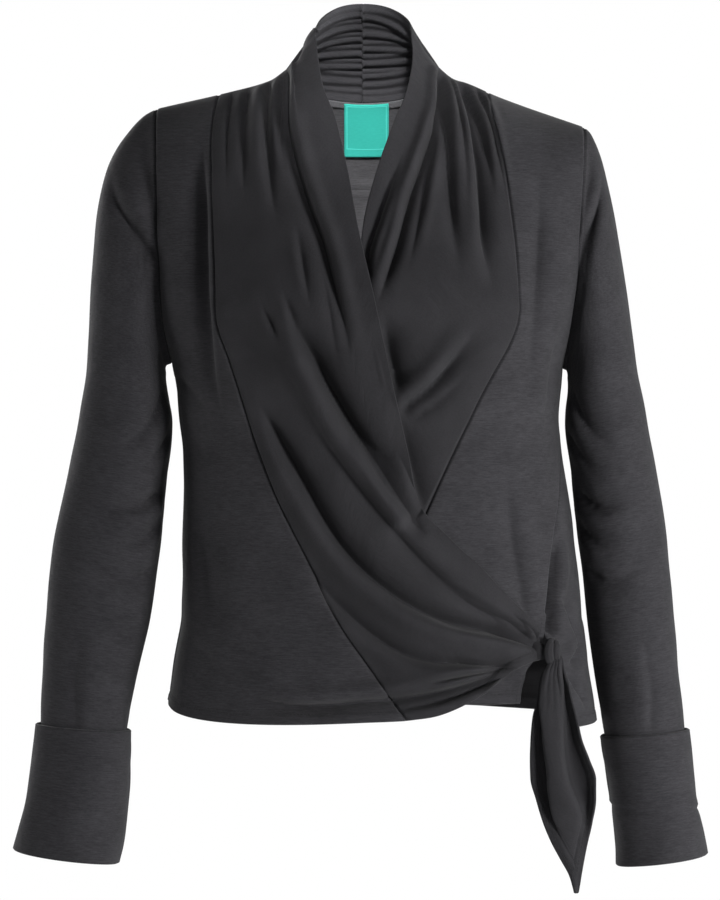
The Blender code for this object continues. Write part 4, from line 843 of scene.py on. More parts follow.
class Finish:
    """A material under construction, over a piece's own UV map in metres."""

    def __init__(self, name):
        self.material = bpy.data.materials.new(name)
        self.material.use_nodes = True
        self.tree = self.material.node_tree
        self.shader = self.tree.nodes["Principled BSDF"]
        self.uv = self.add("ShaderNodeUVMap", dict(uv_map="cloth")).outputs[0]
        parts = self.add("ShaderNodeSeparateXYZ", inputs={0: self.uv})
        self.across, self.along = Value(self.tree, parts.outputs[0]), Value(self.tree, parts.outputs[1])

    def add(self, kind, settings=None, inputs=None):
        return add_node(self.tree, kind, settings, inputs)

    def noise(self, across, along, detail=2.0, roughness=0.55, seed=0.0):
        """Noise over the cloth, with `across` and `along` the size of its grains in metres."""
        place = self.add("ShaderNodeVectorMath", dict(operation="MULTIPLY_ADD"),
                         {0: self.uv, 1: (1 / across, 1 / along, 1.0), 2: (seed, seed * 0.7, seed)})
        node = self.add("ShaderNodeTexNoise", dict(noise_dimensions="3D"),
                        {"Vector": place.outputs[0], "Scale": 1.0, "Detail": detail, "Roughness": roughness})
        return Value(self.tree, node.outputs[0])

    def blend(self, share, first, second):
        return self.add("ShaderNodeMix", dict(data_type="RGBA"), {0: share, 6: first, 7: second}).outputs[2]

    def relief(self, height, depth, before=None):
        """Bump from a height of 0 to 1, `depth` metres deep, on top of an earlier bump."""
        return self.add("ShaderNodeBump", None, {"Strength": 1.0, "Distance": depth, "Height": height,
                                                 "Normal": before}).outputs[0]

    def finish(self, colour, roughness, normal, sheen, sheen_roughness=0.5):
        for name, value in (("Base Color", colour), ("Roughness", roughness), ("Normal", normal)):
            value = value.socket if isinstance(value, Value) else value
            self.tree.links.new(value, self.shader.inputs[name])
        self.shader.inputs["Sheen Weight"].default_value = sheen
        self.shader.inputs["Sheen Roughness"].default_value = sheen_roughness
        self.shader.inputs["Specular IOR Level"].default_value = 0.08
        print("finish", self.material.name, "has", len(self.tree.nodes), "nodes")
        return self.material


# %% [markdown]
# A knit's front shows columns of small stitches, called wales. Here they are about 1.1 mm apart and run
# down the piece, with courses across them. They are far too fine for geometry, so they are a bump.

# %% Knitted surface and the smooth jersey
WALE, COURSE = 0.0011, 0.0009


def knit(finish, depth):
    """Bump of wales and courses, with slightly wandering lines and a soft, uneven hand."""
    wander = finish.noise(0.02, 0.03, 2.0, seed=3.0) * 5.0
    wales = (finish.across * (2 * math.pi / WALE) + wander).wave() * 0.5 + 0.5
    courses = (finish.along * (2 * math.pi / COURSE) + wander).wave() * 0.5 + 0.5
    fuzz = finish.noise(0.0008, 0.0008, 3.0, seed=8.0)
    height = wales * 0.5 + courses * 0.25 + fuzz * 0.5
    puckers = finish.noise(0.016, 0.012, 2.0, seed=5.0)
    soft = finish.relief(puckers, 0.0007)
    return finish.relief(height, depth, before=soft), wales, fuzz


def smooth_jersey(name, dark, light):
    finish = Finish(name)
    normal, wales, fuzz = knit(finish, 0.00010)
    cloudy = finish.noise(0.035, 0.05, 3.0, seed=1.0)
    flecks = finish.noise(0.0016, 0.0011, 2.0, seed=6.0)
    share = (cloudy - 0.5) * 0.7 + (flecks - 0.5) * 0.8 + wales * 0.10 + fuzz * 0.25 + 0.3
    colour = finish.blend(share.step(0.0, 1.0), dark, light)
    rough = 0.86 + (fuzz - 0.5) * 0.12
    return finish.finish(colour, rough, normal, sheen=0.03)


SMOOTH = smooth_jersey("smooth_jersey", (0.0102, 0.0100, 0.0110, 1), (0.0218, 0.0213, 0.0234, 1))

# %% [markdown]
# Heather comes from mixed yarn: every course holds paler and darker lengths. So its streaks are long
# across the piece and one course high, with a few bright fibres on top. Brushing gives it the soft
# sheen that makes the sleeves' outer edges look paler in the photo.

# %% Heather jersey
def heather_jersey(name, dark, light, sheen, contrast=1.0, painted_shade_span=None):
    finish = Finish(name)
    normal, _, fuzz = knit(finish, 0.00008)
    streaks = finish.noise(0.008, 0.0009, 2.0, seed=2.0)
    long_streaks = finish.noise(0.022, 0.0018, 2.0, seed=11.0)
    flecks = finish.noise(0.0024, 0.0006, 2.0, seed=4.0)
    cloudy = finish.noise(0.045, 0.03, 2.0, seed=7.0)
    share = ((streaks - 0.5) * 1.1 + (long_streaks - 0.5) * 0.5 + (flecks - 0.5) * 0.7
             + (cloudy - 0.5) * 0.5) * contrast + fuzz * 0.16 + 0.40
    plain = finish.blend(share.step(0.0, 1.0), dark, light)
    bright = finish.noise(0.0050, 0.0006, 1.0, seed=9.0).step(0.72, 0.80)
    colour = finish.blend(bright * 0.35, plain, tuple(1.7 * part for part in light[:3]) + (1,))
    # Painted shade: down this span of the cloth's UV height the colour is darkened towards a shade tone.
    if painted_shade_span:
        darker = tuple(0.2 * part for part in dark[:3]) + (1,)
        colour = finish.blend(finish.along.step(*painted_shade_span) * 0.8, colour, darker)
    rough = 0.88 + (streaks - 0.5) * 0.16
    return finish.finish(colour, rough, normal, sheen=sheen, sheen_roughness=0.45)


HEATHER = heather_jersey("heather_jersey", (0.0120, 0.0117, 0.0130, 1), (0.0290, 0.0284, 0.0312, 1),
                         sheen=0.06)
COLLAR_OUT = smooth_jersey("collar_outside", (0.0105, 0.0103, 0.0113, 1), (0.0220, 0.0216, 0.0236, 1))
COLLAR_IN = heather_jersey("collar_inside", (0.021, 0.0205, 0.0225, 1), (0.056, 0.055, 0.060, 1), sheen=0.05,
                           contrast=0.6)
# The back's inside is paler heather, and painted shade darkens it towards the hem, where the inside of the
# worn jacket lies in shadow.
BACK_IN_PAINTED_SHADE = heather_jersey("back_inside_painted_shade", (0.047, 0.046, 0.049, 1), (0.098, 0.096, 0.102, 1), sheen=0.05,
                         contrast=0.7, painted_shade_span=(0.09, 0.40))

# %% [markdown]
# The tape over the neck seam is a narrow woven twill, so it has slanting ribs. The label is satin woven
# with a plain raised border and nothing else on it: the jacket carries no name or writing. Its sewn
# edges show as a darker line.

# %% Tape, label and thread
def woven(name, colour, pale, slant, border=None, size=None):
    finish = Finish(name)
    ribs = ((finish.across + finish.along * slant) * (2 * math.pi / 0.0009)).wave() * 0.5 + 0.5
    threads = (finish.along * (2 * math.pi / 0.0005)).wave() * 0.5 + 0.5
    uneven = finish.noise(0.004, 0.0012, 2.0, seed=1.0)
    share = ribs * 0.35 + uneven * 0.5
    height = ribs * 0.6 + threads * 0.4
    if border:
        wide, high = size
        from_side = (wide / 2) - (finish.across - wide / 2).size()
        from_end = (high / 2) - (finish.along - high / 2).size()
        inset = from_side.least(from_end)
        line = 1.0 - ((inset - border).size() / 0.0006).step(0.6, 1.2)
        share = share * 0.6 + line * 0.55
        height = height * 0.5 + line
    face = finish.blend(share.step(0.0, 1.0), colour, pale)
    return finish.finish(face, 0.62 + uneven * 0.2, finish.relief(height, 0.00012), sheen=0.1)


TAPE = woven("neck_tape", (0.09, 0.09, 0.095, 1), (0.18, 0.18, 0.19, 1), slant=1.0)
LABEL = woven("neck_label", (0.035, 0.46, 0.38, 1), (0.090, 0.70, 0.60, 1), slant=0.0,
              border=0.0022, size=(0.0398, 0.0450))
THREAD = smooth_jersey("thread", (0.009, 0.009, 0.0095, 1), (0.020, 0.020, 0.021, 1))


# %% [markdown]
# ## Lines shared at the seams
#
# Two pieces that are sewn together must run through the same line, so both take their edge from one
# function. The rows of a draped front follow the rows of the side front beside it.

# %% Rows down the seams


def arm_heights(side):
    """Heights down the armhole, closer together at the shoulder and the underarm."""
    middle, half = armhole_span(side)
    return middle + half * np.cos(np.linspace(0, math.pi, ARM_ROWS + 1))


def to_hem(count):
    """Shares from 0 to 1 that stand closer together at the end."""
    return 1 - (1 - np.linspace(0, 1, count + 1)) ** HEM_CROWD


def across_piece(count):
    """Shares across a piece, with a few close columns along both of its edges."""
    inner = np.linspace(EDGE_SHARES[-1], 1 - EDGE_SHARES[-1], count - 2 * len(EDGE_SHARES) + 3)[1:-1]
    return np.concatenate([EDGE_SHARES, inner, 1 - EDGE_SHARES[::-1]])


def drape_rows(side):
    """Table places of the draped front's rows, set by the rows of the side front beside it."""
    seam, corner = drape_line(side, "seam"), CORNERS[side]
    places = np.linspace(0, corner, SEARCH_PLACES)
    found = spline(places, seam[:corner + 1])[:, 1]
    arm = arm_heights(side)
    share = (arm - arm[0]) / (arm[-1] - arm[0])
    top, low, end = seam[0, 1], UNDERARM[side][1] - UNDERARM_STEP, seam[corner, 1]
    heights = np.concatenate([top + share * (low - top), low + (end - low) * to_hem(SIDE_ROWS)[1:]])
    return np.concatenate([np.interp(-heights, -found, places),
                           np.linspace(corner, len(seam) - 1, HEM_ROWS + 1)[1:]])


def seam_points(side, places):
    """The panel seam and then the hem, with a corner between them."""
    points, corner = drape_line(side, "seam"), CORNERS[side]
    upper = spline(np.minimum(places, corner), points[:corner + 1])
    lower = spline(np.maximum(places - corner, 0), points[corner:])
    return np.where((places <= corner)[:, None], upper, lower)


def seam_sides(points):
    """Unit vectors across the panel seam in the front view, towards the draped front."""
    run = np.gradient(points[:CORNER_ROW + 1], axis=0)
    return unit(np.stack([-run[:, 1], run[:, 0]], axis=1))


def back_rows(side):
    """Heights down the back's edge at one armhole, from the shoulder tip to the underarm."""
    middle, half = armhole_span(side)
    yoke_end = math.acos((YOKE_SEAM - middle) / half)
    turns = np.concatenate([np.linspace(0, yoke_end, YOKE_ROWS + 1),
                            np.linspace(yoke_end, math.pi, BLADE_ROWS + 1)[1:]])
    return middle + half * np.cos(turns)


def side_heights(side, hem):
    """Heights down a side seam below the underarm. On the left one row lies where the vent starts."""
    top, above, rows = UNDERARM[side][1], [], SIDE_ROWS
    if side > 0:
        above = np.linspace(top, SEAM_SPLIT, SPLIT_ROW + 1)[1:]
        top, rows = SEAM_SPLIT, SIDE_ROWS - SPLIT_ROW
    return np.concatenate([above, top + (hem - top) * to_hem(rows)[1:]])


def neckline_height(x):
    """Height of the back neckline, from the neck points down to the centre back."""
    point = np.where(x < 0, NECK_POINT[-1], NECK_POINT[1])
    share = np.clip(np.abs(x) / point, 0, 1)
    return NECK_LOW + (shoulder_height(np.sign(x) * point) - NECK_LOW) * (1 - np.sqrt(1 - share ** 2))


def settle(grid_x, grid_z, reach=30.0):
    """Lifts a grid's first row to the shoulder line, and the rows below it ever less."""
    lift = shoulder_height(grid_x[0]) - grid_z[0]
    below = smoothstep((grid_z[0] - grid_z) / reach)
    return np.minimum(grid_z + lift * (1 - below), shoulder_height(grid_x))


print("the right panel seam has", len(drape_rows(-1)), "points")

# %% [markdown]
# ## The draped fronts
#
# Each front is one strip of smooth jersey that is narrow and pleated into the shoulder seam, wide over
# the bust and narrow again where it is gathered into the tie. It is cut as a curved panel with its free
# edge turned in. Its grid runs from the free edge to the panel seam, so the rows fan out and close up
# as the cloth does. The right front lies on the left one, a little clear of it.

# %% Draped fronts
def drape_grid(side):
    """Front-view places (x, z) of the draped front's grid, free edge first."""
    places = drape_rows(side)
    edge, middle = (spline(places, drape_line(side, word)) for word in ("edge", "mid"))
    seam = seam_points(side, places)
    seam[:CORNER_ROW + 1] += -side * seam_sides(seam) * SEAM_GAP / 2
    share = across_piece(DRAPE_COLUMNS)[None, :, None]
    near = (share - MID_SHARE) * (share - 1) / MID_SHARE
    between = share * (1 - share) / (MID_SHARE * (1 - MID_SHARE))
    far = share * (share - MID_SHARE) / (1 - MID_SHARE)
    grid = edge[:, None] * near + middle[:, None] * between + seam[:, None] * far
    return grid[..., 0], settle(grid[..., 0], grid[..., 1])


def drape_front(side):
    x, z = drape_grid(side)
    middle, outward = front_form(side, angle_at(x, z), z)
    middle[0, :, 1] = SEAM_DEPTH - SEAM_GAP / 2
    panel_seam, hem = middle[:CORNER_ROW + 1, -1], middle[CORNER_ROW:, -1]
    cloth("drape_front" + SIDE_WORD[side], middle, outward, CLOTH, [SMOOTH],
          seams=[middle[0, SPARSE], panel_seam[SPARSE]], hems=[hem[SPARSE]])


for side in RIGHT_AND_LEFT:
    drape_front(side)

# %% [markdown]
# ## The side fronts
#
# A side front fills the space from the panel seam to the armhole and the side seam. It is heather
# jersey, so its streaks lie level. The left one ends in a small vent above the hem, where the tie
# draws the side seam forward.

# %% Side fronts
LEVEL = (0.0, 0.0, -1.0)     # wales that hang straight down, so the courses lie level


def side_outer(side):
    """Heights and widths down a side front's outer edge: armhole, then side seam."""
    arm, seam = arm_heights(side), side_heights(side, FRONT_HEM[side])
    if side < 0:
        seam_x = -curve(seam, RIGHT_SIDE["height"], RIGHT_SIDE["half_width"])
    else:
        seam_x = curve(seam, LEFT_SEAM["height"], LEFT_SEAM["front_edge"]) - SEAM_GAP / 2
    return np.concatenate([arm, seam]), np.concatenate([side * arm_edge(arm, side), seam_x])


def side_front(side):
    seam = seam_points(side, drape_rows(side)[:CORNER_ROW + 1])
    seam += side * seam_sides(seam) * SEAM_GAP / 2
    outer_heights, outer_x = side_outer(side)
    share = across_piece(SIDE_COLUMNS)[None, :]
    inner_angle = angle_at(seam[:, 0], seam[:, 1])
    outer_angle = angle_at(outer_x, outer_heights)
    angle = inner_angle[:, None] * (1 - share) + outer_angle[:, None] * share
    height = seam[:, 1][:, None] * (1 - share) + outer_heights[:, None] * share
    down = smoothstep((np.arange(len(seam)) - ARM_ROWS) / SIDE_ROWS)[:, None]
    height = height - HEM_DROOP[side] * 4 * share * (1 - share) * down ** 2
    for _ in range(SETTLE_ROUNDS):
        height = settle(body(angle, height)[..., 0], height)
    middle, outward = front_form(side, angle, height)
    middle[0, :, 1] = SEAM_DEPTH - SEAM_GAP / 2
    if side < 0:
        middle[ARM_ROWS:, -1, 1] = -SEAM_GAP / 2
    vent = [] if side < 0 else [middle[ARM_ROWS + SPLIT_ROW:, -1][SPARSE]]
    outer_seam = middle[:ARM_ROWS + SPLIT_ROW, -1][SPARSE]
    cloth("side_front" + SIDE_WORD[side], middle, outward, CLOTH, [HEATHER],
          hems=[middle[-1, SPARSE]] + vent,
          seams=[middle[0, SPARSE], middle[SPARSE, 0], outer_seam], grain=LEVEL)
    return middle, outward


side_fronts = {side: side_front(side) for side in RIGHT_AND_LEFT}

# %% [markdown]
# ## The back
#
# The photo shows only the inside of the back, at the neck. The yoke's seam runs straight across the
# shoulder blades. The lower back is one piece, and on the left it wraps round to the drawn-forward
# side seam. Both follow one form, so they meet in one line. The yoke's rows run from the shoulder line
# and the neckline down to its seam.

# %% Back yoke and lower back
def yoke_edge():
    """The yoke's lower edge and its upper one, from the left armhole round to the right one."""
    left, right = back_rows(1)[:YOKE_ROWS + 1], back_rows(-1)[:YOKE_ROWS + 1]
    share = np.linspace(0, 1, BACK_COLUMNS + 1)
    low_left = angle_at(arm_edge(left[-1], 1), left[-1], front=False)
    low_right = angle_at(-arm_edge(right[-1], -1), right[-1], front=False)
    low_angle = low_left + (low_right - low_left) * share
    low_height = np.full(BACK_COLUMNS + 1, YOKE_SEAM + SEAM_GAP / 2)
    low_x = body(low_angle, low_height)[..., 0]
    reach = 1 - 2 * share
    point = np.where(reach > 0, NECK_POINT[1], NECK_POINT[-1])
    tip = np.where(reach > 0, TIP[1][0], -TIP[-1][0])
    beyond = np.clip((np.abs(reach) - NECK_COLUMNS) / (1 - NECK_COLUMNS), 0, 1)
    near = np.clip(np.abs(reach) / NECK_COLUMNS, 0, 1)
    top_x = np.sign(reach) * (point * near + (tip - point) * beyond)
    inside = (top_x > -NECK_POINT[-1]) & (top_x < NECK_POINT[1])
    top_height = np.where(inside, neckline_height(top_x), shoulder_height(top_x))
    return low_height, low_x, top_x, top_height, left, right


def back_yoke():
    low_height, low_x, top_x, top_height, left, right = yoke_edge()
    down = ((left - left[0]) / (left[-1] - left[0]))[:, None]
    x = top_x + (low_x - top_x) * down
    z = top_height + (low_height - top_height) * down
    x[:, 0], z[:, 0] = arm_edge(left, 1), left
    x[:, -1], z[:, -1] = -arm_edge(right, -1), right
    z[-1] = low_height
    middle, outward = back_form(angle_at(x, z, front=False), z)
    shoulder = (top_x <= -NECK_POINT[-1]) | (top_x >= NECK_POINT[1])
    middle[0, shoulder, 1] = SEAM_DEPTH + SEAM_GAP / 2
    cloth("back_yoke", middle, outward, CLOTH, [HEATHER, BACK_IN_PAINTED_SHADE],
          seams=[middle[0, shoulder & (top_x > 0)][SPARSE], middle[0, shoulder & (top_x < 0)][SPARSE],
                 middle[-1, SPARSE], middle[:, 0], middle[:, -1]], grain=LEVEL)
    return middle, outward


def lower_back():
    left, right = (np.concatenate([back_rows(side)[YOKE_ROWS:], side_heights(side, SIDE_HEM[side])])
                   for side in (1, -1))
    left[0] = right[0] = YOKE_SEAM - SEAM_GAP / 2
    left_angle = angle_at(arm_edge(left, 1), left, front=False)
    seam_x = curve(left, LEFT_SEAM["height"], LEFT_SEAM["back_edge"]) + SEAM_GAP / 2
    seam_x = np.minimum(seam_x, curve(left, LEFT_SIDE["height"], LEFT_SIDE["half_width"]))
    below = np.arange(len(left)) >= BLADE_ROWS
    left_angle = np.where(below, angle_at(seam_x, left), left_angle)
    right_angle = np.where(below, 1.5 * math.pi, angle_at(-arm_edge(right, -1), right, front=False))
    share = np.linspace(0, 1, BACK_COLUMNS + 1)[None, :]
    angle = left_angle[:, None] * (1 - share) + right_angle[:, None] * share
    height = left[:, None] * (1 - share) + right[:, None] * share
    middle, outward = back_form(angle, height)
    middle[below, -1, 1] = SEAM_GAP / 2
    vent = middle[BLADE_ROWS + SPLIT_ROW:, 0]
    left_seam = middle[:BLADE_ROWS + SPLIT_ROW, 0][SPARSE]
    cloth("back", middle, outward, CLOTH, [HEATHER, BACK_IN_PAINTED_SHADE], hems=[middle[-1, SPARSE], vent[SPARSE]],
          seams=[middle[0, SPARSE], left_seam, middle[SPARSE, -1]], grain=LEVEL)
    return middle, outward


yoke, yoke_out = back_yoke()
back, back_out = lower_back()

# %% [markdown]
# ## Sleeves and turned-back cuffs
#
# A sleeve is a tube that starts in the armhole's own points, so that it can't gape, and swings out over
# the sleeve head into ovals down the arm. It is loose at the elbow, where a few drag folds run to the
# inner line. The cuff is the sleeve's end turned back on itself: thicker, wider and crisp at the top.

# %% Sleeves


def ring_points(rings, places, turns):
    """Ellipses down a sleeve. A turn of 0 is the outer line and pi the inner one, the front positive."""
    columns = [rings[name] for name in ("outer_x", "outer_z", "inner_x", "inner_z", "half_depth")]
    ox, oz, ix, iz, depth = spline(places, np.stack(columns, axis=1)).T
    c, s = np.cos(turns)[None, :], np.sin(turns)[None, :]
    x = ((ox + ix) / 2)[:, None] + ((ox - ix) / 2)[:, None] * c
    z = ((oz + iz) / 2)[:, None] + ((oz - iz) / 2)[:, None] * c
    y = -depth[:, None] * s
    return np.stack([x, y, z], axis=-1)


def from_axis(points):
    """Directions from the middle of each ring to its points."""
    return unit(points - points.mean(axis=1, keepdims=True))


def round_sleeve(turns, points):
    """Distance of every point round a sleeve from its outer line, front positive."""
    return np.where(turns > math.pi, turns - 2 * math.pi, turns) * SLEEVE_ROUND + 0 * points[..., 0]


def on_grid(values, rows, columns):
    """Values of a grid read at fractional rows and columns, as its flat faces give them."""
    row = np.clip(rows.astype(int), 0, values.shape[0] - 2)
    column = np.clip(columns.astype(int), 0, values.shape[1] - 2)
    down, along = (rows - row)[..., None], (columns - column)[..., None]
    near = values[row, column] * (1 - along) + values[row, column + 1] * along
    far = values[row + 1, column] * (1 - along) + values[row + 1, column + 1] * along
    return near * (1 - down) + far * down


def armhole(side):
    """The armhole's points and outward directions, down the front and up the back."""
    edge = 0 if side > 0 else -1
    return [np.concatenate([front[:ARM_ROWS + 1, -1], lower[BLADE_ROWS - 1:0:-1, edge], upper[:0:-1, edge]])
            for front, lower, upper in zip(side_fronts[side], (back, back_out), (yoke, yoke_out))]


def sleeve(side):
    rings, (loop, loop_out) = SLEEVES[side], armhole(side)
    middle, half = armhole_span(side)
    turns = np.arccos(np.clip((loop[:, 2] - middle) / half, -1, 1))
    turns = np.where(np.arange(len(loop)) > ARM_ROWS, 2 * math.pi - turns, turns)
    run = np.roll(loop, -1, axis=0) - np.roll(loop, 1, axis=0)
    across = unit(np.cross(run, loop_out))
    across *= np.sign(across[:, :1]) * side
    last = len(rings["outer_x"]) - 1
    coarse = ring_points(rings, np.arange(last + 1.0), turns)
    place = np.linspace(-1, last, (last + 1) * SLEEVE_ROWS + 1)
    points = spline(place + 1, np.concatenate([(loop + across * SLEEVE_GAP)[None], coarse]))
    around, down, outward = round_sleeve(turns, points), points[..., 2], from_axis(points)
    calm = smoothstep((place + 1) / HEAD_CALM) * smoothstep((last - place) / WRIST_CALM)
    relief = (fold_relief(around, down, SLEEVE_FOLDS) + swells(around, down)) * calm[:, None]
    points = points + outward * relief[..., None]
    cloth("sleeve" + SIDE_WORD[side], points, outward, CLOTH, [HEATHER], closed=True,
          seams=[points[0, SPARSE]], grain=(side * SLEEVE_LEAN, 0.0, -1.0))


for side in RIGHT_AND_LEFT:
    sleeve(side)

# %% [markdown]
# A cuff's top edge stands a little proud of the sleeve, and its lower edge is a rounded fold. The left
# cuff has a shallow crease round it where it was once folded.

# %% Cuffs
CUFF_CREASES = {-1: [], 1: fold_table([(1.3, 2.6, 0.5, 0.0, 0.0, (-150, -629), (0, -631), (150, -628))])}


def cuff(side):
    rings = CUFFS[side]
    turns = np.linspace(0, 2 * math.pi, CUFF_COLUMNS + 1)[:-1]
    points = ring_points(rings, np.linspace(0, len(rings["outer_x"]) - 1, CUFF_ROWS), turns)
    around, down, outward = round_sleeve(turns, points), points[..., 2], from_axis(points)
    relief = swells(around, down) * CUFF_SWELL + fold_relief(around, down, CUFF_CREASES[side])
    points = points + outward * relief[..., None]
    cloth("cuff" + SIDE_WORD[side], points, outward, CUFF_CLOTH, [HEATHER], closed=True)


for side in RIGHT_AND_LEFT:
    cuff(side)

# %% [markdown]
# ## The ruched collar
#
# The collar stands round the back of the neck in two halves, joined at the centre back. That seam was
# gathered on a thread, so soft ridges run out of it and die away towards the sides. Each ridge has its
# own row: where it starts on the seam, where it ends at the side, how high and broad it is, and how far
# it reaches. Rows count as shares of the collar's height, because that is how a gather is spaced.

# %% Collar halves
RUCHE_NAMES = "seam_rise side_rise height width reach"
RIGHT_RUCHES = table(RUCHE_NAMES, [
    (0.96, 0.92, 2.4, 0.024, 34), (0.89, 0.80, 4.2, 0.024, 62), (0.83, 0.78, 2.4, 0.016, 26),
    (0.76, 0.62, 4.6, 0.024, 78), (0.70, 0.60, 2.6, 0.016, 30), (0.64, 0.50, 4.4, 0.022, 80),
    (0.57, 0.52, 3.0, 0.017, 30), (0.49, 0.40, 5.0, 0.024, 84), (0.43, 0.36, 2.6, 0.016, 26),
    (0.36, 0.30, 4.8, 0.022, 80), (0.29, 0.33, 3.0, 0.018, 36), (0.20, 0.16, 3.6, 0.024, 64),
    (0.11, 0.12, 2.0, 0.018, 40),
])
LEFT_RUCHES = table(RUCHE_NAMES, [
    (0.94, 0.88, 2.6, 0.024, 34), (0.86, 0.64, 5.0, 0.026, 86), (0.79, 0.66, 2.6, 0.016, 28),
    (0.69, 0.60, 4.6, 0.024, 66), (0.61, 0.64, 2.8, 0.016, 28), (0.54, 0.52, 4.4, 0.022, 74),
    (0.47, 0.56, 3.0, 0.018, 40), (0.39, 0.44, 5.0, 0.024, 84), (0.32, 0.36, 2.8, 0.016, 28),
    (0.26, 0.34, 4.2, 0.022, 72), (0.17, 0.24, 3.4, 0.022, 60), (0.09, 0.12, 2.0, 0.018, 36),
])


RUCHES = {-1: RIGHT_RUCHES, 1: LEFT_RUCHES}
RUCHE_SPREAD = 0.9           # how much broader a ridge is at the side than at the seam
RUCHE_BASE, RUCHE_CALM, SIDE_CALM = 1.5, 0.10, 30.0


def ruches(rise, from_back, length, gathers):
    """Height of the gathers, from each one's own line between the centre seam and the side."""
    relief = 0 * rise * from_back
    for start, end, height, width, reach in zip(*gathers.values()):
        line = start + (end - start) * smoothstep(from_back / length)
        broad = width * (1 + RUCHE_SPREAD * from_back / length)
        fade = np.exp(-(from_back / reach) ** 2)
        relief = relief + height * fade * np.exp(-((rise - line) / broad) ** 2)
    return relief


def collar(side):
    share, rise = np.linspace(0, 1, COLLAR_COLUMNS + 1), np.linspace(0, 1, COLLAR_ROWS + 1)
    turn = share * math.pi / 2
    point = side * NECK_POINT[side]
    back_x = COLLAR_BACK_X + side * SEAM_GAP / 2
    base_x = back_x + (point - back_x) * np.cos(turn)
    columns = np.interp(-base_x, -yoke[0, :, 0], np.arange(yoke.shape[1]))
    base = on_grid(yoke, 0 * columns, columns)
    base[0] = (point, SEAM_DEPTH, shoulder_height(point))
    base[:, 2] += COLLAR_LIFT
    (top_x, top_z), (curve_x, curve_z) = COLLAR_TOP[side], COLLAR_TOP_CURVE
    top = np.stack([back_x + (top_x - back_x) * np.cos(turn) ** curve_x,
                    SEAM_DEPTH + (COLLAR_BACK_DEPTH - SEAM_DEPTH) * np.sin(turn),
                    top_z + (COLLAR_BACK_TOP - top_z) * np.sin(turn) ** curve_z], axis=1)
    middle = base[None] * (1 - rise[:, None, None]) + top[None] * rise[:, None, None]
    outward = unit(np.stack([side * np.cos(turn), np.sin(turn), 0 * turn], axis=1))[None] + 0 * middle
    from_back = np.concatenate([[0], np.cumsum(np.linalg.norm(np.diff(top, axis=0), axis=1))])
    from_back = (from_back[-1] - from_back)[None, :]
    relief = ruches(rise[:, None], from_back, from_back[0, 0], RUCHES[side])
    calm = (smoothstep(rise / RUCHE_CALM)[:, None]
            * smoothstep(from_back[0, 0] / SIDE_CALM - from_back / SIDE_CALM))
    bulge = COLLAR_BULGE * np.sin(math.pi * rise)[:, None] * np.sin(turn)[None, :]
    middle = middle + outward * (bulge + (RUCHE_BASE - relief) * calm)[..., None]
    middle[:, 0, 1] = SEAM_DEPTH + SEAM_GAP
    middle[:, -1, 0] = back_x
    cloth("collar" + SIDE_WORD[side], middle, outward, CLOTH, [COLLAR_OUT, COLLAR_IN],
          seams=[middle[SPARSE, 0], middle[SPARSE, -1]])


for side in RIGHT_AND_LEFT:
    collar(side)

# %% [markdown]
# ## Neck tape and label
#
# Both are thin strips on the inside of the back yoke. They are made from the yoke's own points, moved
# in by the cloth's thickness, so they follow its curve.

# %% Tape and label
def trim(name, x, top, bottom, inward, material):
    every_row, every_column = np.arange(yoke.shape[0]), np.arange(yoke.shape[1])
    centre = np.full(len(every_row), np.interp(0.0, -yoke[0, :, 0], every_column))
    heights = on_grid(yoke, every_row + 0.0, centre)[:, 2]
    drops = np.linspace(top, bottom, max(6, int((bottom - top) / TRIM_STEP)))
    rows = np.interp(drops, heights[0] - heights, every_row)[:, None]
    lines = on_grid(yoke, rows, every_column + 0.0 * rows)
    columns = np.stack([np.interp(-x, -line[:, 0], every_column) for line in lines])
    rows = rows + 0.0 * columns
    outward = unit(on_grid(yoke_out, rows, columns))
    middle = on_grid(yoke, rows, columns) - outward * inward
    cloth(name, middle, outward, TRIM_CLOTH, [material])


ON_YOKE = CLOTH / 2 + TRIM_CLEAR + TRIM_CLOTH / 2
trim("neck_tape", np.linspace(-TAPE_HALF, TAPE_HALF, 60), 0.0, TAPE_HEIGHT, ON_YOKE, TAPE)
trim("neck_label", np.linspace(LABEL_LEFT, LABEL_RIGHT, 34), 1.0, LABEL_LENGTH,
     ON_YOKE + TRIM_CLEAR + TRIM_CLOTH, LABEL)

# %% [markdown]
# ## The tie's hanging end
#
# The end is a pointed strip that hangs folded lengthwise: its left side is doubled back behind a light
# middle band, a deep groove follows, and the right edge comes forward. So its cross-section is a small
# S-shaped profile, which a height map could not show, and it is scaled to the strip's width down the
# fall. A few creases fan out of the knot.

# %% Hanging end
TAIL_PROFILE = table("share forward", [
    (0.00, -4.6), (0.10, -5.2), (0.22, -5.4), (0.33, -4.6), (0.375, -2.6), (0.345, -0.4), (0.285, 1.4),
    (0.245, 3.4), (0.27, 5.3), (0.36, 6.2), (0.48, 6.3), (0.58, 5.6), (0.635, 3.6), (0.64, 0.8),
    (0.67, -2.4), (0.74, -4.6), (0.83, -4.0), (0.92, -1.0), (1.00, 2.6),
])
FOLD_PLACES = (0.0, 0.245, 0.635, 1.0)
OPENS_AT, OPENS_OVER = 0.58, 0.26      # where down the fall the folded end opens out flat
FULL_WIDTH, WIDEST = 40.0, 1.3         # the profile's own width, and the most it is scaled up
FLAT_BULGE = 2.2
CREASE_HEIGHT, CREASE_COUNT, CREASE_TURN, CREASE_FADE = 0.5, 34.0, 2.0, 0.2
SWAY_HEIGHT, SWAY_DOWN, SWAY_ACROSS, SWAY_START = 0.8, 7.0, 5.0, 0.3
PUFF_HEIGHT, PUFF_START, PUFF_PLACE, PUFF_WIDTH = 4.5, 0.03, 0.05, 0.09     # just below the knot


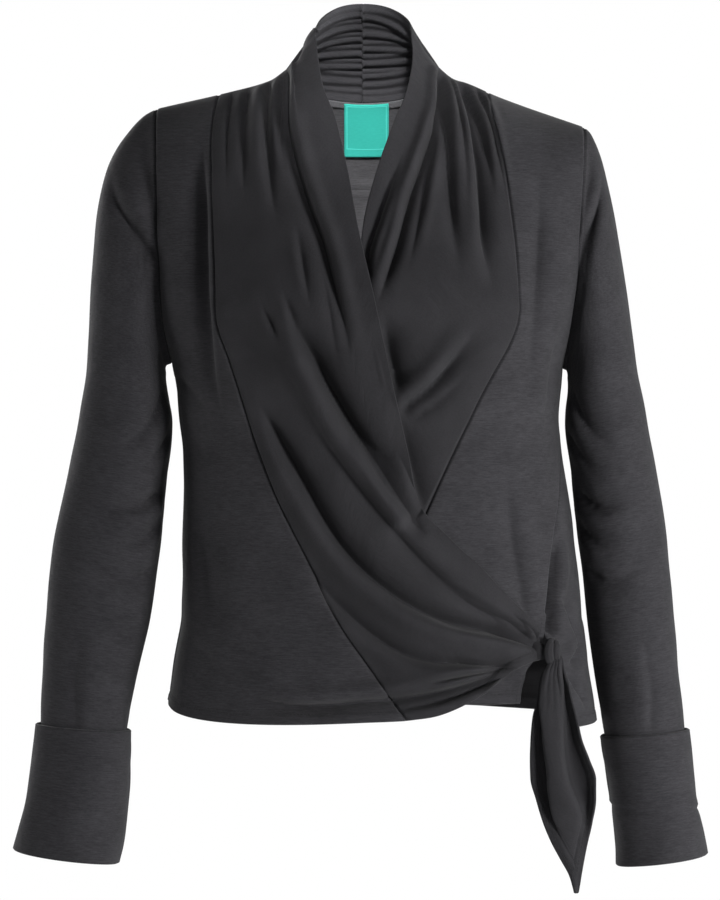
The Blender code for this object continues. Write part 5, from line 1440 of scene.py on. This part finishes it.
def tie_tail():
    height = np.linspace(TAIL["height"][0], TAIL["height"][-1], TAIL_ROWS + 1)
    left = curve(height, TAIL["height"], TAIL["left"])[:, None]
    right = curve(height, TAIL["height"], TAIL["right"])[:, None]
    profile = np.stack([TAIL_PROFILE["share"], TAIL_PROFILE["forward"]], axis=1)
    across = spline(np.linspace(0, len(profile) - 1, TAIL_COLUMNS + 1), profile)
    folded, forward = across[:, 0], across[:, 1]
    down = ((height[0] - height) / (height[0] - height[-1]))[:, None]
    open_flat = smoothstep((down - OPENS_AT) / OPENS_OVER)
    starts = curve(down[:, 0], TAIL_FOLD["down"], TAIL_FOLD["left"])
    ends = curve(down[:, 0], TAIL_FOLD["down"], TAIL_FOLD["right"])
    share = np.stack([np.interp(folded, FOLD_PLACES, (0.0, start, end, 1.0))
                      for start, end in zip(starts, ends)])
    even = np.linspace(0, 1, TAIL_COLUMNS + 1)[None, :]
    share = share * (1 - open_flat) + even * open_flat
    spread = np.clip((right - left) / FULL_WIDTH, 0, WIDEST)
    lobe = forward[None, :] * (1 - open_flat) + FLAT_BULGE * np.sin(math.pi * even) * open_flat
    creases = (CREASE_HEIGHT * np.cos(CREASE_COUNT * share + CREASE_TURN * down)
               * np.exp(-(down / CREASE_FADE) ** 2))
    sway = SWAY_HEIGHT * np.sin(SWAY_DOWN * down + SWAY_ACROSS * share) * smoothstep(down / SWAY_START)
    puff = PUFF_HEIGHT * smoothstep(down / PUFF_START) * np.exp(-((down - PUFF_PLACE) / PUFF_WIDTH) ** 2)
    y = TAIL_DEPTH - (lobe * spread + creases + sway + puff)
    x = left + (right - left) * share
    middle = np.stack([x, y, height[:, None] + 0 * x], axis=-1)
    normals = unit(np.cross(np.gradient(middle, axis=0), np.gradient(middle, axis=1)))
    run = np.hypot(np.diff(folded) * FULL_WIDTH, np.diff(forward)).sum()
    print("the end's profile is", round(float(run)), "mm round")
    cloth("tie_tail", middle, normals, CLOTH, [SMOOTH], normals=normals,
          hems=[middle[SPARSE, 0], middle[SPARSE, -1]])


tie_tail()

# %% [markdown]
# ## The knot
#
# The tie's two ends are wound round each other and pulled tight, so the knot is a small lump of a few
# turned bands with deep lines between them. Each band is an oval section swept along a short path. The
# sections bulge a little unevenly, as gathered cloth does.

# %% Knot
KNOT_BANDS = [table("x y z half_wide half_thick", rows) for rows in (
    # the gathered fronts where they go in
    [(127, -76, -487, 9.0, 0.8), (137, -81.5, -488.5, 9.2, 2.6), (146, -85.5, -490, 7.4, 3.6),
     (156, -87, -491.5, 4.4, 2.4)],
    # the turn over the front
    [(160, -80, -482, 2.8, 1.6), (156.6, -87, -482.0, 3.5, 2.0), (154.6, -91.0, -488, 4.0, 2.3),
     (155.6, -90.8, -496, 3.8, 2.2), (160, -84, -501.5, 2.8, 1.6)],
    # the second turn, half under the first
    [(163, -79, -484, 2.6, 1.6), (161.4, -86, -484, 3.3, 2.0), (160.6, -88.6, -490, 3.8, 2.2),
     (161.4, -87.2, -497, 3.4, 2.0), (163, -80, -500.5, 2.6, 1.6)],
    # the core that fills the spaces between them
    [(160, -83, -483, 2.6, 2.6), (160, -83, -488, 5.6, 4.8), (160, -83, -497, 5.6, 4.8),
     (160, -83, -502, 2.6, 2.6)],
)]
BAND_RINGS, BAND_AROUND = 36, 24
GATHERS, GATHER_HEIGHT, GATHER_TURN = 7, 0.07, 0.12       # small ridges along each band
TO_FRONT = np.array([0.0, -1.0, 0.0])


def swept_band(band):
    """Points and faces of a closed oval tube along a path, its flat side to the front."""
    rings, around = BAND_RINGS, BAND_AROUND
    at = np.linspace(0, len(band["x"]) - 1, rings)
    swept = spline(at, np.stack(list(band.values()), axis=1))
    centre, half = swept[:, :3], swept[:, 3:]
    along = unit(np.gradient(centre, axis=0))
    front = unit(TO_FRONT - np.sum(TO_FRONT * along, axis=1, keepdims=True) * along)
    beside = np.cross(along, front)
    turn = np.linspace(0, 2 * math.pi, around + 1)[None, :-1]
    uneven = 1 + GATHER_HEIGHT * np.cos(GATHERS * turn + GATHER_TURN * np.arange(rings)[:, None])
    wide, thick = half[:, :1] * np.cos(turn) * uneven, half[:, 1:] * np.sin(turn) * uneven
    points = centre[:, None] + beside[:, None] * wide[..., None] + front[:, None] * thick[..., None]
    points = np.vstack([points.reshape(-1, 3), centre[0] - along[0], centre[-1] + along[-1]])
    faces, start, end, low = [], rings * around, rings * around + 1, (rings - 1) * around
    for column in range(around):
        beyond = (column + 1) % around
        faces += [(row + column, row + beyond, row + around + beyond, row + around + column)
                  for row in range(0, low, around)]
        faces += [(start, beyond, column), (end, low + column, low + beyond)]
    return points, faces


def tie_knot():
    points, faces = [], []
    for band in KNOT_BANDS:
        some, sides = swept_band(band)
        faces += [tuple(index + sum(map(len, points)) for index in side) for side in sides]
        points.append(some)
    points = np.vstack(points)
    corners = points[[index for side in faces for index in side]] * MM
    uv = np.stack([corners[:, 0] + corners[:, 1], corners[:, 2]], axis=1)
    mesh = cloth_mesh("tie_knot_bands", points, faces, uv, [SMOOTH])
    turn_outward(mesh)
    print("the knot has", len(KNOT_BANDS), "bands and", len(mesh.polygons), "faces")
    return place_object("tie_knot_bands", mesh)


knot = tie_knot()

# %% [markdown]
# ## Stitches
#
# Hems on jersey are sewn with a twin needle: two even rows near the fold. The tie's edges and the vent
# have a single row. A stitch is about 2.5 mm long and sinks into the cloth. Geometry Nodes repeats one
# small rounded stitch along lines that keep a steady distance from the piece's own edge.

# %% Lines for the stitches
STITCH_SINK = 0.02
HEM_END = -int(HEM_ROWS * 0.22)      # the hem's stitches stop where the cloth is drawn together
TWIN, VENT_INSET, TIE_INSET = (7.6, 10.0), 4.0, 4.2
TIE_PART = dict(first=8, last=-9)    # the rows between the knot and the point
VENT_CORNER = 3                      # columns beside the vent that the hem's stitches leave out


def stitch_line(name, edge, inset, first=0, last=None):
    """Points on a piece's outer surface at a steady distance in from one of its edges."""
    part = pieces[name]
    surface = part["middle"] + part["normals"] * (part["thick"] / 2 - STITCH_SINK)[..., None]
    if edge in ("left", "right"):
        surface = surface.swapaxes(0, 1)
    if edge in ("bottom", "right"):
        surface = surface[::-1]
    surface = surface[:, first:last]
    gone = np.cumsum(np.linalg.norm(np.diff(surface, axis=0), axis=-1), axis=0)
    gone = np.vstack([np.zeros((1, gone.shape[1])), gone])
    row = np.clip(np.argmax(gone >= inset, axis=0), 1, None)
    column = np.arange(surface.shape[1])
    share = (inset - gone[row - 1, column]) / (gone[row, column] - gone[row - 1, column])
    return surface[row - 1, column] * (1 - share)[:, None] + surface[row, column] * share[:, None]


stitch_lines = []
for inset in TWIN:
    stitch_lines += [stitch_line("side_front_right", "bottom", inset),
                     stitch_line("side_front_left", "bottom", inset, last=-VENT_CORNER),
                     stitch_line("back", "bottom", inset, first=VENT_CORNER)]
    stitch_lines += [stitch_line(name, "right", inset, first=CORNER_ROW, last=HEM_END)
                     for name in ("drape_front_right", "drape_front_left")]
stitch_lines += [stitch_line("side_front_left", "right", VENT_INSET, first=ARM_ROWS + SPLIT_ROW),
                 stitch_line("back", "left", VENT_INSET, first=BLADE_ROWS + SPLIT_ROW)]
stitch_lines += [stitch_line("tie_tail", edge, TIE_INSET, **TIE_PART) for edge in ("left", "right")]
print(len(stitch_lines), "rows of stitches")

# %% A node tree that sews along a line
WOBBLE, WOBBLE_SEED = 0.10, 5          # how far a stitch leans off its line, as a share of its length


def sewing_tree():
    tree = bpy.data.node_groups.new("sew_along_lines", "GeometryNodeTree")
    tree.interface.new_socket("Lines", in_out="INPUT", socket_type="NodeSocketGeometry")
    for name in ("Spacing", "Stitch Length", "Thread"):
        tree.interface.new_socket(name, in_out="INPUT", socket_type="NodeSocketFloat")
    tree.interface.new_socket("Seed", in_out="INPUT", socket_type="NodeSocketInt")
    tree.interface.new_socket("Finish", in_out="INPUT", socket_type="NodeSocketMaterial")
    tree.interface.new_socket("Stitches", in_out="OUTPUT", socket_type="NodeSocketGeometry")
    given = tree.nodes.new("NodeGroupInput").outputs
    lines = add_node(tree, "GeometryNodeMeshToCurve", inputs={"Mesh": given["Lines"]})
    even = add_node(tree, "GeometryNodeResampleCurve", dict(mode="LENGTH"),
                    {"Curve": lines.outputs[0], "Length": given["Spacing"]})
    bead = add_node(tree, "GeometryNodeMeshUVSphere", inputs={"Segments": 6, "Rings": 4, "Radius": 0.5})
    wobble = add_node(tree, "FunctionNodeRandomValue", dict(data_type="FLOAT_VECTOR"),
                      {"Min": (-WOBBLE,) * 3, "Max": (WOBBLE,) * 3, "Seed": given["Seed"]})
    tangent = tree.nodes.new("GeometryNodeInputTangent")
    lean = add_node(tree, "ShaderNodeVectorMath", dict(operation="ADD"),
                    {0: tangent.outputs[0], 1: wobble.outputs[0]})
    turn = add_node(tree, "FunctionNodeAlignRotationToVector", dict(axis="Z"), {"Vector": lean.outputs[0]})
    size = add_node(tree, "ShaderNodeCombineXYZ",
                    inputs={"X": given["Thread"], "Y": given["Thread"], "Z": given["Stitch Length"]})
    sewn = add_node(tree, "GeometryNodeInstanceOnPoints",
                    inputs={"Points": even.outputs[0], "Instance": bead.outputs[0],
                            "Rotation": turn.outputs[0], "Scale": size.outputs[0]})
    real = add_node(tree, "GeometryNodeRealizeInstances", inputs={"Geometry": sewn.outputs[0]})
    smooth = add_node(tree, "GeometryNodeSetShadeSmooth", inputs={"Geometry": real.outputs[0]})
    dyed = add_node(tree, "GeometryNodeSetMaterial",
                    inputs={"Geometry": smooth.outputs[0], "Material": given["Finish"]})
    out = tree.nodes.new("NodeGroupOutput")
    tree.links.new(dyed.outputs[0], out.inputs[0])
    return tree


def sew(name, lines, spacing, length, thread):
    points = np.vstack(lines) * MM
    ends = np.cumsum([len(line) for line in lines])
    edges = [(k, k + 1) for k in range(len(points) - 1) if k + 1 not in ends]
    mesh = bpy.data.meshes.new(name + "_lines")
    mesh.from_pydata(points.tolist(), edges, [])
    guide, tree = place_object(name + "_lines", mesh), sewing_tree()
    modifier = guide.modifiers.new("sewing", "NODES")
    modifier.node_group = tree
    sockets = {item.name: item.identifier for item in tree.interface.items_tree
               if item.in_out == "INPUT"}
    values = {"Spacing": spacing, "Stitch Length": length, "Thread": thread, "Seed": WOBBLE_SEED,
              "Finish": THREAD}
    for word, value in values.items():
        modifier[sockets[word]] = value
    graph = bpy.context.evaluated_depsgraph_get()
    made = bpy.data.meshes.new_from_object(guide.evaluated_get(graph))
    made.name = name
    bpy.data.objects.remove(guide, do_unlink=True)
    print(name, "has", len(made.polygons), "faces")
    return place_object(name, made)


stitches = sew("hem_stitches", stitch_lines, spacing=0.0031, length=0.0025, thread=0.00055)

# %% [markdown]
# ## Each piece takes its place
#
# Every shell stands for its own solid and rides on the jacket's one body.


shown = {name: part["item"] for name, part in pieces.items()}
shown["tie_knot"] = knot
for name, item in shown.items():
    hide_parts(name)
    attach(item, "root")
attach(stitches, "root")

# %% [markdown]
# ## Floor, light and camera
#
# The jacket is shown as worn, so the floor lies where a wearer's feet would be, well below the hem. In
# the photo the backdrop is white, but the light on the cloth is strong and comes from the right, low
# down: the sleeve on that side is bright, the other one and the shoulders are dark. So the world is
# white behind the jacket and dim before and above it, a lamp stands at the right front, and two strips
# at the sides catch the brushed nap. A small spot reaches into the neck.

# %% Floor
FLOOR_HEIGHT, FLOOR_SIZE = -1.38, 9.0
floor_mesh = bpy.data.meshes.new("floor")
corners = [(x * FLOOR_SIZE / 2, y * FLOOR_SIZE / 2, FLOOR_HEIGHT)
           for x, y in ((-1, -1), (1, -1), (1, 1), (-1, 1))]
floor_mesh.from_pydata(corners, [], [(0, 1, 2, 3)])
floor = place_object("floor", floor_mesh)
pale = bpy.data.materials.new("pale_floor")
pale.use_nodes = True
surface = pale.node_tree.nodes["Principled BSDF"].inputs
surface["Base Color"].default_value, surface["Roughness"].default_value = (0.72, 0.72, 0.73, 1), 0.7
floor_mesh.materials.append(pale)

# %% Lights
ROOM_LIGHT = 0.20            # the room behind the camera, as a share of the white backdrop
BACKDROP_EDGE = (-0.60, -0.15)              # where the room turns into the backdrop, by direction
CEILING_EDGE, CEILING_DARK = (0.10, 0.55), 0.90
scene = bpy.context.scene
world = bpy.data.worlds.new("studio")
world.use_nodes = True
sky = world.node_tree
direction = sky.nodes.new("ShaderNodeTexCoord").outputs["Generated"]
parts = sky.nodes.new("ShaderNodeSeparateXYZ")
sky.links.new(direction, parts.inputs[0])
behind = Value(sky, parts.outputs[1]).step(*BACKDROP_EDGE)
above = Value(sky, parts.outputs[2]).step(*CEILING_EDGE)
room = (ROOM_LIGHT + behind * (1.0 - ROOM_LIGHT)) * (1.0 - above * CEILING_DARK)
sky.links.new(room.socket, sky.nodes["Background"].inputs["Strength"])
sky.nodes["Background"].inputs["Color"].default_value = (1.0, 1.0, 1.0, 1.0)
scene.world = world
scene.view_settings.view_transform = "Standard"


def point_at(item, place, aim):
    item.location = place
    item.rotation_euler = (Vector(aim) - Vector(place)).to_track_quat("-Z", "Y").to_euler()


def lamp(name, place, aim, size, power):
    light = bpy.data.lights.new(name, "AREA")
    light.shape = "RECTANGLE"
    light.size, light.size_y = size
    light.energy = power
    point_at(place_object(name, light), place, aim)


# name, place, what it points at, size (metres), power (watts)
lamp("key_lamp", (1.35, -1.4, -0.5), (0, 0, -0.35), (0.5, 0.5), 58)
lamp("front_lamp", (0.2, -3.3, 0.0), (0, 0, -0.3), (0.8, 0.8), 9)
lamp("right_side_lamp", (2.4, -0.6, -0.1), (0.2, 0, -0.4), (0.8, 2.0), 30)
lamp("left_side_lamp", (-2.4, 0.1, -0.1), (-0.2, 0, -0.4), (0.8, 2.0), 34)
lamp("back_lamp", (-1.6, 2.4, 0.6), (0, 0, -0.3), (0.9, 0.9), 45)

neck_light = bpy.data.lights.new("neck_lamp", "SPOT")
neck_light.energy, neck_light.shadow_soft_size = 240, 0.12
neck_light.spot_size, neck_light.spot_blend = math.radians(11), 1.0
point_at(place_object("neck_lamp", neck_light), (0.1, -1.1, 0.75), (0, 0.05, -0.03))

# %% Camera
CAMERA_AIM, CAMERA_AWAY = (-0.007, 0.0, -0.317), 3.5
PIXEL, PHOTO_HEIGHT = 0.88 * MM, 900      # size of a photo pixel on the jacket, and how many pixels high
camera_data = bpy.data.cameras.new("photo_camera")
camera_data.sensor_fit = "VERTICAL"
camera_data.sensor_height = 24.0
camera_data.lens = camera_data.sensor_height * CAMERA_AWAY / (PIXEL * PHOTO_HEIGHT)
camera = place_object("photo_camera", camera_data)
camera.location = (CAMERA_AIM[0], CAMERA_AIM[1] - CAMERA_AWAY, CAMERA_AIM[2])
camera.rotation_euler = (math.pi / 2, 0.0, 0.0)
scene.camera = camera

# %% [markdown]
# ## Close
#
# A small helper turns corners into plain lists of numbers.

# %% Close
def plain(corners):
    return [[float(value) for value in corner] for corner in corners]
